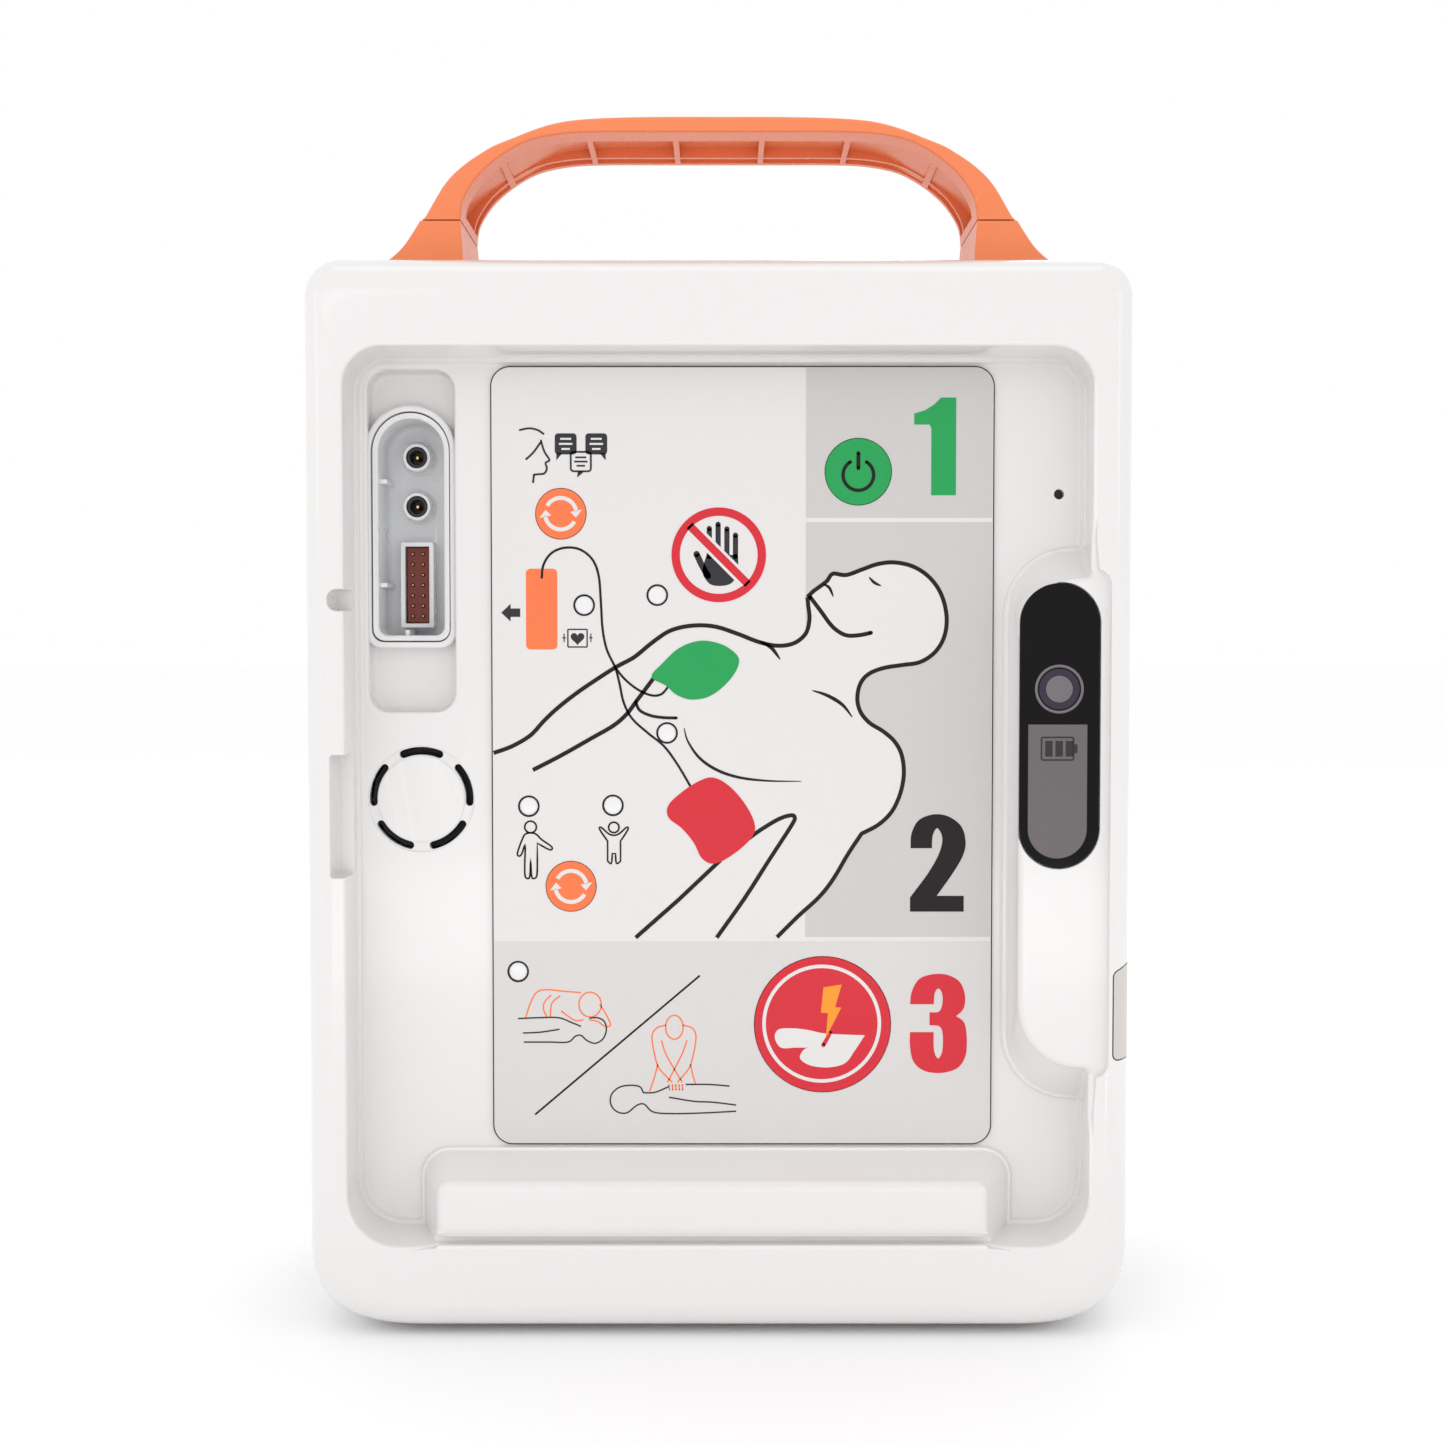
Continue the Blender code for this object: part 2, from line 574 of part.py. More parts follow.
def make_front_case():
    case = front_solid("front_case", "white_plastic")
    boolean(case, front_cavity())
    screw_bosses(case, (CASE_FRONT + RECESS_DEPTH + 1.2 * MM, CASE_PARTING - 0.5 * MM))
    boolean(case, loft("cut_recess", [
        (CASE_FRONT - 1 * MM, recess_mouth()), (CASE_FRONT + 1 * MM, recess_mouth()), (PANEL_Y, recess_floor())]))
    step_x = (ISLAND_LEFT - 3 * MM, 91.3 * MM)
    boolean(case, plate("cut_island", rectangle(step_x, (60 * MM, 183 * MM), 3.5 * MM),
                        depth_span(-1 * MM, ISLAND_DEPTH)))
    boolean(case, plate("cut_rest", rectangle((REST_LEFT, REST_RIGHT), (23.4 * MM, 40 * MM), 2 * MM),
                        depth_span(-1 * MM, REST_DEPTH)))
    pocket = plate("cut_pocket", rectangle(POCKET_X, POCKET_Z, 4.8 * MM), depth_span(RECESS_DEPTH - 1 * MM, POCKET_DEPTH))
    collar_x, collar_z = grown(WELL_X, WELL_Z, 1.6 * MM)
    boolean(pocket, plate("keep_collar", stadium(collar_x, collar_z, 4 * MM), depth_span(COLLAR_DEPTH, POCKET_DEPTH + 1 * MM)))
    boolean(case, pocket)
    boolean(case, plate("cut_well", stadium(WELL_X, WELL_Z, 3 * MM), depth_span(RECESS_DEPTH, POCKET_DEPTH + 4 * MM)))
    cut_panel_holes(case)
    boolean(case, plate("cut_window", stadium(WINDOW_X, WINDOW_Z), depth_span(0, ISLAND_DEPTH + WINDOW_THICK)))
    boolean(case, box("cut_display", DISPLAY_X, depth_span(1 * MM, 8 * MM), DISPLAY_Z))
    boolean(case, plate("cut_hinge_slot", rectangle(*HINGE_SLOT, 2 * MM), depth_span(-1 * MM, HINGE_DEPTH)))
    boolean(case, box("cut_hinge_pocket", HINGE_POCKET[0], depth_span(-1 * MM, HINGE_DEPTH), HINGE_POCKET[1]))
    boolean(case, box("cut_lever", (LEVER_X, 104 * MM), depth_span(-1 * MM, LEVER_BACK + GAP), LEVER_Z))
    boolean(case, round_holes("holes_front_screws", [(x, z, SCREW_SHANK + GAP) for x, z in SCREWS],
                              (-22 * MM, CASE_PARTING + 1 * MM)))
    return case


def make_rear_case():
    case = rear_solid("rear_case", "white_plastic")
    cavity = rear_solid("cavity_rear", wall=CASE_WALL, front=CASE_PARTING - 2 * MM)
    bay_x, bay_z = grown(BAY_X, BAY_Z, 2 * MM)
    boolean(cavity, box("keep_bay", bay_x, (BAY_FLOOR - 2 * MM, CASE_REAR), bay_z))
    boolean(case, cavity)
    screw_bosses(case, (CASE_PARTING + 1 * MM, CASE_REAR - 1 * MM))
    boolean(case, box("cut_bay", BAY_X, (BAY_FLOOR, CASE_REAR + 1 * MM), BAY_Z))
    boolean(case, box("cut_contacts", (-14 * MM, 14 * MM), (BAY_FLOOR - 3 * MM, BAY_FLOOR + 1 * MM), (48 * MM, 58 * MM)))
    boolean(case, box("cut_finger", (-13 * MM, 13 * MM), (CASE_REAR - 6 * MM, CASE_REAR + 1 * MM), (BAY_Z[1] - 1 * MM, BAY_Z[1] + 1.6 * MM)))
    boolean(case, round_holes("holes_heads", [(x, z, SCREW_HEAD + 2 * GAP) for x, z in SCREWS],
                              (SCREW_SEAT, CASE_REAR + 1 * MM)))
    boolean(case, round_holes("holes_rear_screws", [(x, z, SCREW_SHANK + GAP) for x, z in SCREWS],
                              (0, SCREW_SEAT + 1 * MM)))
    return case


def make_gasket():
    """A sealing ring just inside both shells, across the parting plane."""
    outside = CASE_WALL + GAP
    ring = case_outline(CASE_HALF_WIDTH - outside - 0.2 * MM, CASE_TOP - outside, outside)
    inside = case_outline(CASE_HALF_WIDTH - outside - 1.8 * MM, CASE_TOP - outside - 1.6 * MM, outside + 1.6 * MM)
    return plate("case_gasket", ring, (CASE_PARTING - 1.2 * MM, CASE_PARTING + 1.2 * MM), "rubber", [inside])


def make_screws():
    """Four long screws that reach from the rear shell's counterbores into the front shell's bosses."""
    for number, place in enumerate(SCREWS, 1):
        seat = SCREW_SEAT + GAP
        turned(f"case_screw_{number}", place, [
            (0, seat + 3 * MM), (SCREW_HEAD, seat + 3 * MM), (SCREW_HEAD, seat), (SCREW_SHANK, seat),
            (SCREW_SHANK, -18 * MM), (0, -20 * MM)], "steel", SMALL_STEPS)


def make_pads():
    for number, place in enumerate(PADS, 1):
        cylinder(f"foot_pad_{number}", place, PAD_RADIUS, (CASE_REAR + GAP, PAD_FACE), "rubber",
                 steps=ROUND_STEPS, back_radius=PAD_RADIUS - 0.6 * MM)


# ---------------------------------------------------------------- handle

def mirrored(half):
    """A curve over the right half, in millimetres, carried on over the left half."""
    right = [(x * MM, z * MM) for x, z in half]
    return right + [(-x, z) for x, z in reversed(right)]


def make_handle_grip():
    outer, inner = mirrored(HANDLE_OUTER), mirrored(HANDLE_INNER)
    grip = plate("handle_grip", outer + list(reversed(inner)), HANDLE_Y, "orange_plastic")
    edge = grip.modifiers.new("soft_edges", "BEVEL")
    edge.width = 1.6 * MM
    edge.segments = 2
    edge.limit_method = "ANGLE"
    edge.angle_limit = math.radians(50)
    skin = [(x - math.copysign(HANDLE_SKIN * 0.9, x) * (abs(x) > 50 * MM), z - HANDLE_SKIN) for x, z in outer]
    below = [(x, z - 3 * MM) for x, z in inner]
    hollow = skin + list(reversed(below))
    ribs = [HANDLE_RIB_PITCH * (i + 0.5) for i in range(-3, 3)]
    edges = [-80 * MM, *ribs, 80 * MM]
    for row, span in enumerate(HANDLE_CELLS, 1):
        cells = plate(f"cells_{row}", hollow, span)
        for number, x in enumerate(ribs, 1):
            wall = (x - HANDLE_RIB / 2, x + HANDLE_RIB / 2)
            boolean(cells, box(f"rib_{row}_{number}", wall, (span[0] - 1 * MM, span[1] + 1 * MM), (240 * MM, 300 * MM)))
        boolean(cells, box(f"stop_{row}", (edges[0], edges[-1]), (span[0] - 1 * MM, span[1] + 1 * MM), (240 * MM, 269 * MM)))
        boolean(grip, cells)
    return grip


def make_handle_foot(side, sign):
    outline = [(sign * x * MM, z * MM) for x, z in FOOT_OUTLINE]
    foot = plate(f"handle_foot_{side}", outline, HANDLE_Y, "orange_plastic")
    edge = foot.modifiers.new("soft_edges", "BEVEL")
    edge.width = 0.8 * MM
    edge.segments = 1
    edge.limit_method = "ANGLE"
    edge.angle_limit = math.radians(60)
    return foot


# ---------------------------------------------------------------- panel, keys and lights

def circle(centre, radius, steps=ROUND_STEPS):
    return arc(centre, (radius, radius), 0, 2 * math.pi * (1 - 1 / steps), steps - 1)


def make_overlay():
    holes = [circle((x, z), radius + KEY_CLEARANCE) for x, z, radius in KEYS.values()]
    holes += [circle(place, LENS_RADIUS + GAP, SMALL_STEPS) for place in LENSES]
    return plate("panel_overlay", rectangle(OVERLAY_X, OVERLAY_Z, OVERLAY_CORNER),
                 (OVERLAY_Y, OVERLAY_Y + OVERLAY_THICK), "overlay_film", holes)


def make_key(name, colour):
    """A round key cap with a flange that keeps it behind the panel, and a stem just above its switch."""
    x, z, radius = KEYS[name]
    face = OVERLAY_Y - KEY_STAND
    under = PANEL_Y + CASE_WALL + GAP
    turned(f"{name}_key", (x, z), [
        (0, KEY_STEM_END), (KEY_STEM_RADIUS, KEY_STEM_END), (KEY_STEM_RADIUS, face + KEY_THICK),
        (radius - 1 * MM, face + KEY_THICK), (radius - 1 * MM, under + KEY_FLANGE),
        (radius + 1.2 * MM, under + KEY_FLANGE), (radius + 1.2 * MM, under), (radius, under),
        (radius, face + 0.3 * MM), (radius - 0.3 * MM, face), (0, face)], colour)
    half = 3 * MM
    box(f"{name}_switch", (x - half, x + half), (SWITCH_FACE, BOARD_Y - GAP), (z - half, z + half), "black_plastic")


def make_lenses():
    for number, place in enumerate(LENSES, 1):
        cylinder(f"indicator_lens_{number}", place, LENS_RADIUS, (OVERLAY_Y, LENS_END), "clear_lens", SMALL_STEPS)


def make_status_window():
    x, z = grown(WINDOW_X, WINDOW_Z, -GAP)
    plate("status_window", stadium(x, z, steps=10), depth_span(ISLAND_DEPTH, ISLAND_DEPTH + WINDOW_THICK - GAP), "black_window")
    x, z = grown(DISPLAY_X, DISPLAY_Z, -0.6 * MM)
    box("display_module", x, depth_span(ISLAND_DEPTH + WINDOW_THICK + GAP, 9 * MM), z, "black_plastic")


# ---------------------------------------------------------------- pads connector

def make_connector_well():
    """A deep cup behind the collar, with two round collars and a frame on its floor."""
    x, z = grown(WELL_X, WELL_Z, -GAP)
    back = WELL_FLOOR + WELL_FLOOR_THICK
    well = plate("connector_well", stadium(x, z, 3 * MM), depth_span(COLLAR_DEPTH + 1.2 * MM, back), "grey_plastic")
    inner_x, inner_z = grown(x, z, -WELL_WALL)
    boolean(well, plate("cut_cup", stadium(inner_x, inner_z, 2 * MM), depth_span(RECESS_DEPTH, WELL_FLOOR)))
    for name, height in SOCKET_Z.items():
        centre = (SOCKET_X, height)
        boolean(well, cylinder(f"collar_{name}", centre, SOCKET_COLLAR_RADIUS, depth_span(SOCKET_FACE, back - 0.5 * MM)), "UNION")
        boolean(well, cylinder(f"hole_{name}", centre, SOCKET_RADIUS + GAP / 2, depth_span(SOCKET_FACE - 1 * MM, back + 1 * MM)))
    frame = [(HEADER_CENTRE[i] - HEADER_FRAME[i] / 2, HEADER_CENTRE[i] + HEADER_FRAME[i] / 2) for i in (0, 1)]
    hole = [(HEADER_CENTRE[i] - HEADER_SIZE[i] / 2 - GAP / 2, HEADER_CENTRE[i] + HEADER_SIZE[i] / 2 + GAP / 2) for i in (0, 1)]
    boolean(well, box("header_frame", frame[0], depth_span(SOCKET_FACE, back - 0.5 * MM), frame[1]), "UNION")
    boolean(well, box("header_hole", hole[0], depth_span(SOCKET_FACE - 1 * MM, back + 1 * MM), hole[1]))
    return well


def make_pad_sockets():
    """Each socket is an insulating tube with a contact pin standing in it."""
    back = CASE_FRONT + WELL_FLOOR + 4 * MM
    face = CASE_FRONT + SOCKET_FACE + 0.5 * MM
    cup = face + 5 * MM
    for name, height in SOCKET_Z.items():
        centre = (SOCKET_X, height)
        turned(f"pad_socket_{name}", centre, [
            (PIN_RADIUS + 0.15 * MM, back), (SOCKET_RADIUS, back), (SOCKET_RADIUS, face),
            (SOCKET_RADIUS - 0.8 * MM, face), (SOCKET_RADIUS - 0.8 * MM, cup),
            (PIN_RADIUS + 0.15 * MM, cup), (PIN_RADIUS + 0.15 * MM, back)], "black_plastic", 16)
        cylinder(f"pad_pin_{name}", centre, PIN_RADIUS, (face + 0.6 * MM, PIN_END), "gold", 8)


def header_places():
    for row in range(HEADER_ROWS):
        for column in (-0.5, 0.5):
            yield (HEADER_CENTRE[0] + column * HEADER_PITCH,
                   HEADER_CENTRE[1] + (row - (HEADER_ROWS - 1) / 2) * HEADER_PITCH)


def square(centre, side):
    return [(centre[0] - side / 2, centre[1] + side / 2), (centre[0] + side / 2, centre[1] + side / 2),
            (centre[0] + side / 2, centre[1] - side / 2), (centre[0] - side / 2, centre[1] - side / 2)]


def make_ecg_header():
    """The data header: an insulator with two rows of holes, and its pins on one carrier board."""
    face = CASE_FRONT + SOCKET_FACE + 1.6 * MM
    back = CASE_FRONT + WELL_FLOOR + 3 * MM
    half = [size / 2 for size in HEADER_SIZE]
    outline = rectangle((HEADER_CENTRE[0] - half[0], HEADER_CENTRE[0] + half[0]),
                        (HEADER_CENTRE[1] - half[1], HEADER_CENTRE[1] + half[1]), 0.3 * MM, 1)
    plate("ecg_header", outline, (face, back), "red_connector", [square(p, HEADER_PIN + GAP * 2) for p in header_places()])
    wide, tall = (size / 2 + 1 * MM for size in HEADER_SIZE)
    pins = box("ecg_pins", (HEADER_CENTRE[0] - wide, HEADER_CENTRE[0] + wide), (back + GAP, back + 1.8 * MM),
               (HEADER_CENTRE[1] - tall, HEADER_CENTRE[1] + tall), "gold")
    for number, (x, z) in enumerate(header_places(), 1):
        half_pin = HEADER_PIN / 2
        boolean(pins, box(f"pin_{number}", (x - half_pin, x + half_pin), (face - 0.6 * MM, back + 1 * MM),
                          (z - half_pin, z + half_pin)), "UNION")


# ---------------------------------------------------------------- lid release lever

def lever_pin(name, radius, z, material=None):
    """A round pin or hole on the lever's upright axis, between two heights."""
    mesh = mesh_from(name, lambda bm: bmesh.ops.create_cone(
        bm, cap_ends=True, segments=SMALL_STEPS, radius1=radius, radius2=radius, depth=z[1] - z[0]))
    made = add_object(name, mesh, material)
    made.location = (*LEVER_PIVOT, sum(z) / 2)
    return made


def make_release_lever(case):
    """A lever that wraps the right front edge and turns on an upright pin near the front."""
    lever = front_solid("release_lever", "grey_plastic")
    inset = 0.4 * MM
    z = (LEVER_Z[0] + inset, LEVER_Z[1] - inset)
    boolean(lever, box("keep_lever", (LEVER_X + inset, 104 * MM), depth_span(-1 * MM, LEVER_BACK - inset), z), "INTERSECT")
    arm = LEVER_PIVOT[0] + LEVER_PIN_RADIUS + 0.3 * MM
    boolean(lever, box("cut_lever_back", (LEVER_X, arm), depth_span(6.6 * MM, LEVER_BACK + 1 * MM),
                       (z[0] - 1 * MM, z[1] + 1 * MM)))
    beyond = 2.6 * MM
    hole = (LEVER_Z[0] - beyond, LEVER_Z[1] + beyond)
    bore = lever_pin("cut_lever_bore", LEVER_PIN_RADIUS + 0.15 * MM, hole)
    boolean(lever, bore)
    boolean(case, bore)
    lever_pin("release_pin", LEVER_PIN_RADIUS, (hole[0] + GAP, hole[1] - GAP), "steel")
    start = (LEVER_X + GAP, CASE_FRONT + LEVER_BACK - 5 * MM, sum(LEVER_Z) / 2)
    coil("release_spring", start, (1, 0, 0), arm - LEVER_X - 2.5 * GAP, 1.8 * MM, 0.25 * MM, 3, "steel")


# ---------------------------------------------------------------- battery pack

def make_battery():
    x, z = grown(BAY_X, BAY_Z, -BATTERY_CLEARANCE)
    front, back = BAY_FLOOR + 1 * MM, CASE_REAR - BATTERY_LID_THICK - GAP
    tray_x, tray_z = grown(x, z, -1 * MM)
    tray = box("battery_tray", tray_x, (front, back), (tray_z[0], TRAY_TOP), "black_plastic")
    inner_x, inner_z = grown(tray_x, (tray_z[0], TRAY_TOP), -BATTERY_WALL)
    boolean(tray, box("cut_tray", inner_x, (front + BATTERY_WALL, back + 1 * MM), inner_z))
    lid = plate("battery_lid", rectangle(x, z, 3 * MM), (CASE_REAR - BATTERY_LID_THICK, CASE_REAR), "grey_plastic")
    boolean(lid, box("cut_latch", (LATCH_X[0] - 0.4 * MM, LATCH_X[1] + 0.4 * MM), (CASE_REAR - 4 * MM, CASE_REAR + 1 * MM),
                     (LATCH_Z[0] - LATCH_TRAVEL - 0.5 * MM, 131 * MM)))
    floor = front + BATTERY_WALL + GAP
    first = inner_z[0] + CELL_RADIUS + 0.6 * MM
    pitch = 2 * CELL_RADIUS - 0.6 * MM
    length = inner_x[1] - inner_x[0] - 1 * MM
    cells = None
    for number in range(CELL_COUNT):
        name = "battery_cells" if cells is None else f"cell_{number + 1}"
        mesh = mesh_from(name, lambda bm: bmesh.ops.create_cone(
            bm, cap_ends=True, segments=SMALL_STEPS, radius1=CELL_RADIUS, radius2=CELL_RADIUS, depth=length,
            matrix=Matrix.Rotation(math.pi / 2, 4, "Y")))
        cell = add_object(name, mesh, "blue_film" if cells is None else None)
        cell.location = (0, floor + CELL_RADIUS, first + pitch * number)
        cells = boolean(cells, cell, "UNION") if cells else cell


def make_battery_latch():
    """A slide on the pack's top edge: pressed down, it frees the pack from the bay."""
    outer, plate_back = CASE_REAR - 0.4 * MM, CASE_REAR - 2.6 * MM
    latch = box("battery_latch", LATCH_X, (plate_back, outer), LATCH_Z, "orange_plastic")
    boolean(latch, box("cut_latch_grip", (-8 * MM, 8 * MM), (outer - 1 * MM, outer + 1 * MM), (116 * MM, 124 * MM)))
    boolean(latch, box("latch_tail", (-3 * MM, 3 * MM), (plate_back - 5.5 * MM, plate_back + 1 * MM), (124.5 * MM, 127 * MM)), "UNION")
    coil("latch_spring", (0, CASE_REAR - 6.2 * MM, TRAY_TOP + 2 * GAP), (0, 0, 1), 15.3 * MM, 1.6 * MM, 0.3 * MM, 5, "steel")


def make_contact_block():
    block = box("contact_block", (-13 * MM, 13 * MM), (5 * MM, BAY_FLOOR + 0.4 * MM), (49 * MM, 57 * MM), "black_plastic")
    for number in range(4):
        x = (-9 + 6 * number) * MM
        boolean(block, box(f"cut_blade_{number + 1}", (x - 0.6 * MM, x + 0.6 * MM), (9 * MM, BAY_FLOOR + 2 * MM), (51 * MM, 55 * MM)))


# ---------------------------------------------------------------- electronics

def make_speaker():
    """A small loudspeaker behind the ring of slots: basket, cone and magnet."""
    front = PANEL_Y + CASE_WALL + GAP
    back = front + 8 * MM
    turned("speaker_basket", SPEAKER_CENTRE, [
        (5 * MM, back), (SPEAKER_RADIUS - 3 * MM, back), (SPEAKER_RADIUS, front + 2 * MM), (SPEAKER_RADIUS, front),
        (SPEAKER_RADIUS - 1 * MM, front), (SPEAKER_RADIUS - 1.2 * MM, front + 2 * MM),
        (SPEAKER_RADIUS - 4 * MM, back - 1.2 * MM), (5 * MM, back - 1.2 * MM), (5 * MM, back)], "steel", 16)
    turned("speaker_cone", SPEAKER_CENTRE, [
        (0, back - 2.2 * MM), (4 * MM, back - 2.2 * MM), (SPEAKER_RADIUS - 1.8 * MM, front + 1.0 * MM),
        (SPEAKER_RADIUS - 1.8 * MM, front + 0.4 * MM), (4 * MM, back - 3 * MM), (0, back - 3 * MM)], "black_plastic", 16)
    cylinder("speaker_magnet", SPEAKER_CENTRE, 8 * MM, (back + GAP, back + 5 * MM), "steel", 16)
    cylinder("microphone", MICROPHONE_CENTRE, 3 * MM, (front, front + 2.2 * MM), "steel", SMALL_STEPS)


def strip(path, thickness):
    """A bent strip's outline: the path moved by half the thickness to each side."""
    near, far = [], []
    for index, point in enumerate(path):
        along = Vector(path[min(index + 1, len(path) - 1)]) - Vector(path[max(index - 1, 0)])
        side = Vector((-along.y, along.x)).normalized() * thickness / 2
        near.append(tuple(Vector(point) + side))
        far.append(tuple(Vector(point) - side))
    return near + far[::-1]


def make_boards():
    """The button board behind the panel, the main board at the parting plane, and the ribbon that joins them."""
    box("button_board", (-54 * MM, 64 * MM), (BOARD_Y, BOARD_Y + BOARD_THICK), (46 * MM, 226 * MM), "circuit_board")
    box("main_board", (-78 * MM, 78 * MM), (MAIN_BOARD_Y, MAIN_BOARD_Y + BOARD_THICK), (16 * MM, 238 * MM),
        "circuit_board")
    front, end = BOARD_Y + BOARD_THICK + 2 * GAP, MAIN_BOARD_Y - 2 * GAP
    quarter = (end - front) / 4
    path = arc((front + quarter, 62 * MM), (quarter, 7 * MM), math.pi, 0, 8)
    path += arc((end - quarter, 62 * MM), (quarter, 7 * MM), math.pi, 2 * math.pi, 8)[1:]
    ribbon = plate("button_ribbon", strip(path, 0.3 * MM), (-12 * MM, 12 * MM), "overlay_film")
    ribbon.matrix_world = Matrix.Translation((-10 * MM, 0, 0)) @ Matrix.Rotation(math.pi / 2, 4, "Z") @ ribbon.matrix_world


def make_power_stage():
    """The parts that store and deliver the shock, behind the main board and above the battery bay."""
    power_y = MAIN_BOARD_Y + BOARD_THICK + GAP
    mesh = mesh_from("hv_capacitor", lambda bm: bmesh.ops.create_cone(
        bm, cap_ends=True, segments=ROUND_STEPS, radius1=19 * MM, radius2=19 * MM, depth=78 * MM,
        matrix=Matrix.Rotation(math.pi / 2, 4, "Y")))
    add_object("hv_capacitor", mesh, "blue_film").location = (-26 * MM, 19 * MM, 160 * MM)
    core = box("hv_transformer", (28 * MM, 60 * MM), (power_y, 27 * MM), (142 * MM, 172 * MM), "black_plastic")
    boolean(core, box("transformer_winding", (31 * MM, 57 * MM), (2 * MM, 30 * MM), (148 * MM, 166 * MM)), "UNION")
    sink = box("heat_sink", (10 * MM, 62 * MM), (power_y, 21 * MM), (186 * MM, 226 * MM), "aluminium")
    for number in range(6):
        x = (14 + 8 * number) * MM
        boolean(sink, box(f"cut_fin_{number + 1}", (x, x + 4.5 * MM), (3 * MM, 23 * MM), (180 * MM, 232 * MM)))
    box("discharge_relay", (-40 * MM, -12 * MM), (power_y, 17 * MM), (200 * MM, 218 * MM), "black_plastic")


def make_leads():
    """Two insulated leads from the ends of the pad pins to solder points on the main board."""
    start, run = PIN_END + GAP, MAIN_BOARD_Y - 1.3 * MM
    for name, side, material in (("upper", 1, "red_key"), ("lower", -1, "overlay_film")):
        z = SOCKET_Z[name]
        steps = [(0, start, 0), (0.5, start + 1.4 * MM, 0.3), (3, run - 0.6 * MM, 1.5), (8, run, 4),
                 (15, run, 6), (24, run, 7)]
        tube(f"hv_lead_{name}", [(SOCKET_X + along * MM, y, z + side * rise * MM) for along, y, rise in steps],
             LEAD_RADIUS, material)


clear_scene()
PARTS = new_collection("defibrillator")
CUTTERS = new_collection("cutters")
MATERIALS = {name: make_material(name) for name in COLOURS}

front = make_front_case()
make_rear_case()
make_gasket()
make_screws()
make_pads()
make_handle_grip()
make_handle_foot("left", -1)
make_handle_foot("right", 1)
make_overlay()
for key_name, key_colour in (("power", "green_key"), ("language", "orange_key"),
                             ("patient", "orange_key"), ("shock", "red_key")):
    make_key(key_name, key_colour)
make_lenses()
make_status_window()
make_connector_well()
make_pad_sockets()
make_ecg_header()
make_release_lever(front)
make_battery()
make_battery_latch()
make_contact_block()
make_speaker()
make_boards()
make_power_stage()
make_leads()
for part in PARTS.objects:
    smooth_round(part)
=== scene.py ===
from math import copysign, cos, pi, radians, sin, sqrt, tan

import bmesh
import bpy
import numpy as np
from mathutils import Matrix, Vector


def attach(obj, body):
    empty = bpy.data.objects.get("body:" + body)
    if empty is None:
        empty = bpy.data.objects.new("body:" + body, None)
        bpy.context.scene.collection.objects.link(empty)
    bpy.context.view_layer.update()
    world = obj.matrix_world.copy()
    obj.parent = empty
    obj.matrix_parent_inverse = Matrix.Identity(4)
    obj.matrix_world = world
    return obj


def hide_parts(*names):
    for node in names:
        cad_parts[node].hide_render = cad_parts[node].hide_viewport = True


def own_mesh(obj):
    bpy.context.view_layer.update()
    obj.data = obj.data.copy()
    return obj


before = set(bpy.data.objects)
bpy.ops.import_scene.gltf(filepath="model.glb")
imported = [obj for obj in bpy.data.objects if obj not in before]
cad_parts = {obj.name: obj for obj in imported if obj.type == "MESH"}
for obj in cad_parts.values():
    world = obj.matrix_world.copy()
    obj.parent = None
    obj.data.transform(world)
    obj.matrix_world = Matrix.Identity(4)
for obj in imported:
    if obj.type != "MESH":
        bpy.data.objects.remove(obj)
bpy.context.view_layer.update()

# Every length below is in millimetres. X runs to the user's right, Y to the back and Z up.
MM = 0.001
FRONT = -47.5
PARTING = 2.5
REAR = 46.0
WALL = 2.5
PANEL = FRONT + 15
FILM = PANEL - 0.8


# ---- materials

def node_of(tree, kind, **values):
    node = tree.nodes.new(kind)
    for key, value in values.items():
        if key in node.inputs:
            node.inputs[key].default_value = value
        else:
            setattr(node, key, value)
    return node


def noise_of(tree, scale, detail=3.0, stretch=None):
    """Noise in the object's own space, in features per metre."""
    coordinates = tree.nodes.new("ShaderNodeTexCoord")
    source = coordinates.outputs["Object"]
    if stretch:
        mapping = node_of(tree, "ShaderNodeMapping", Scale=stretch)
        tree.links.new(source, mapping.inputs["Vector"])
        source = mapping.outputs["Vector"]
    noise = node_of(tree, "ShaderNodeTexNoise", Scale=scale, Detail=detail)
    tree.links.new(source, noise.inputs["Vector"])
    return noise.outputs["Fac"]


def ranged(tree, source, low, high):
    node = node_of(tree, "ShaderNodeMapRange")
    node.inputs["From Min"].default_value = 0.3
    node.inputs["From Max"].default_value = 0.7
    node.inputs["To Min"].default_value = low
    node.inputs["To Max"].default_value = high
    tree.links.new(source, node.inputs["Value"])
    return node.outputs["Result"]


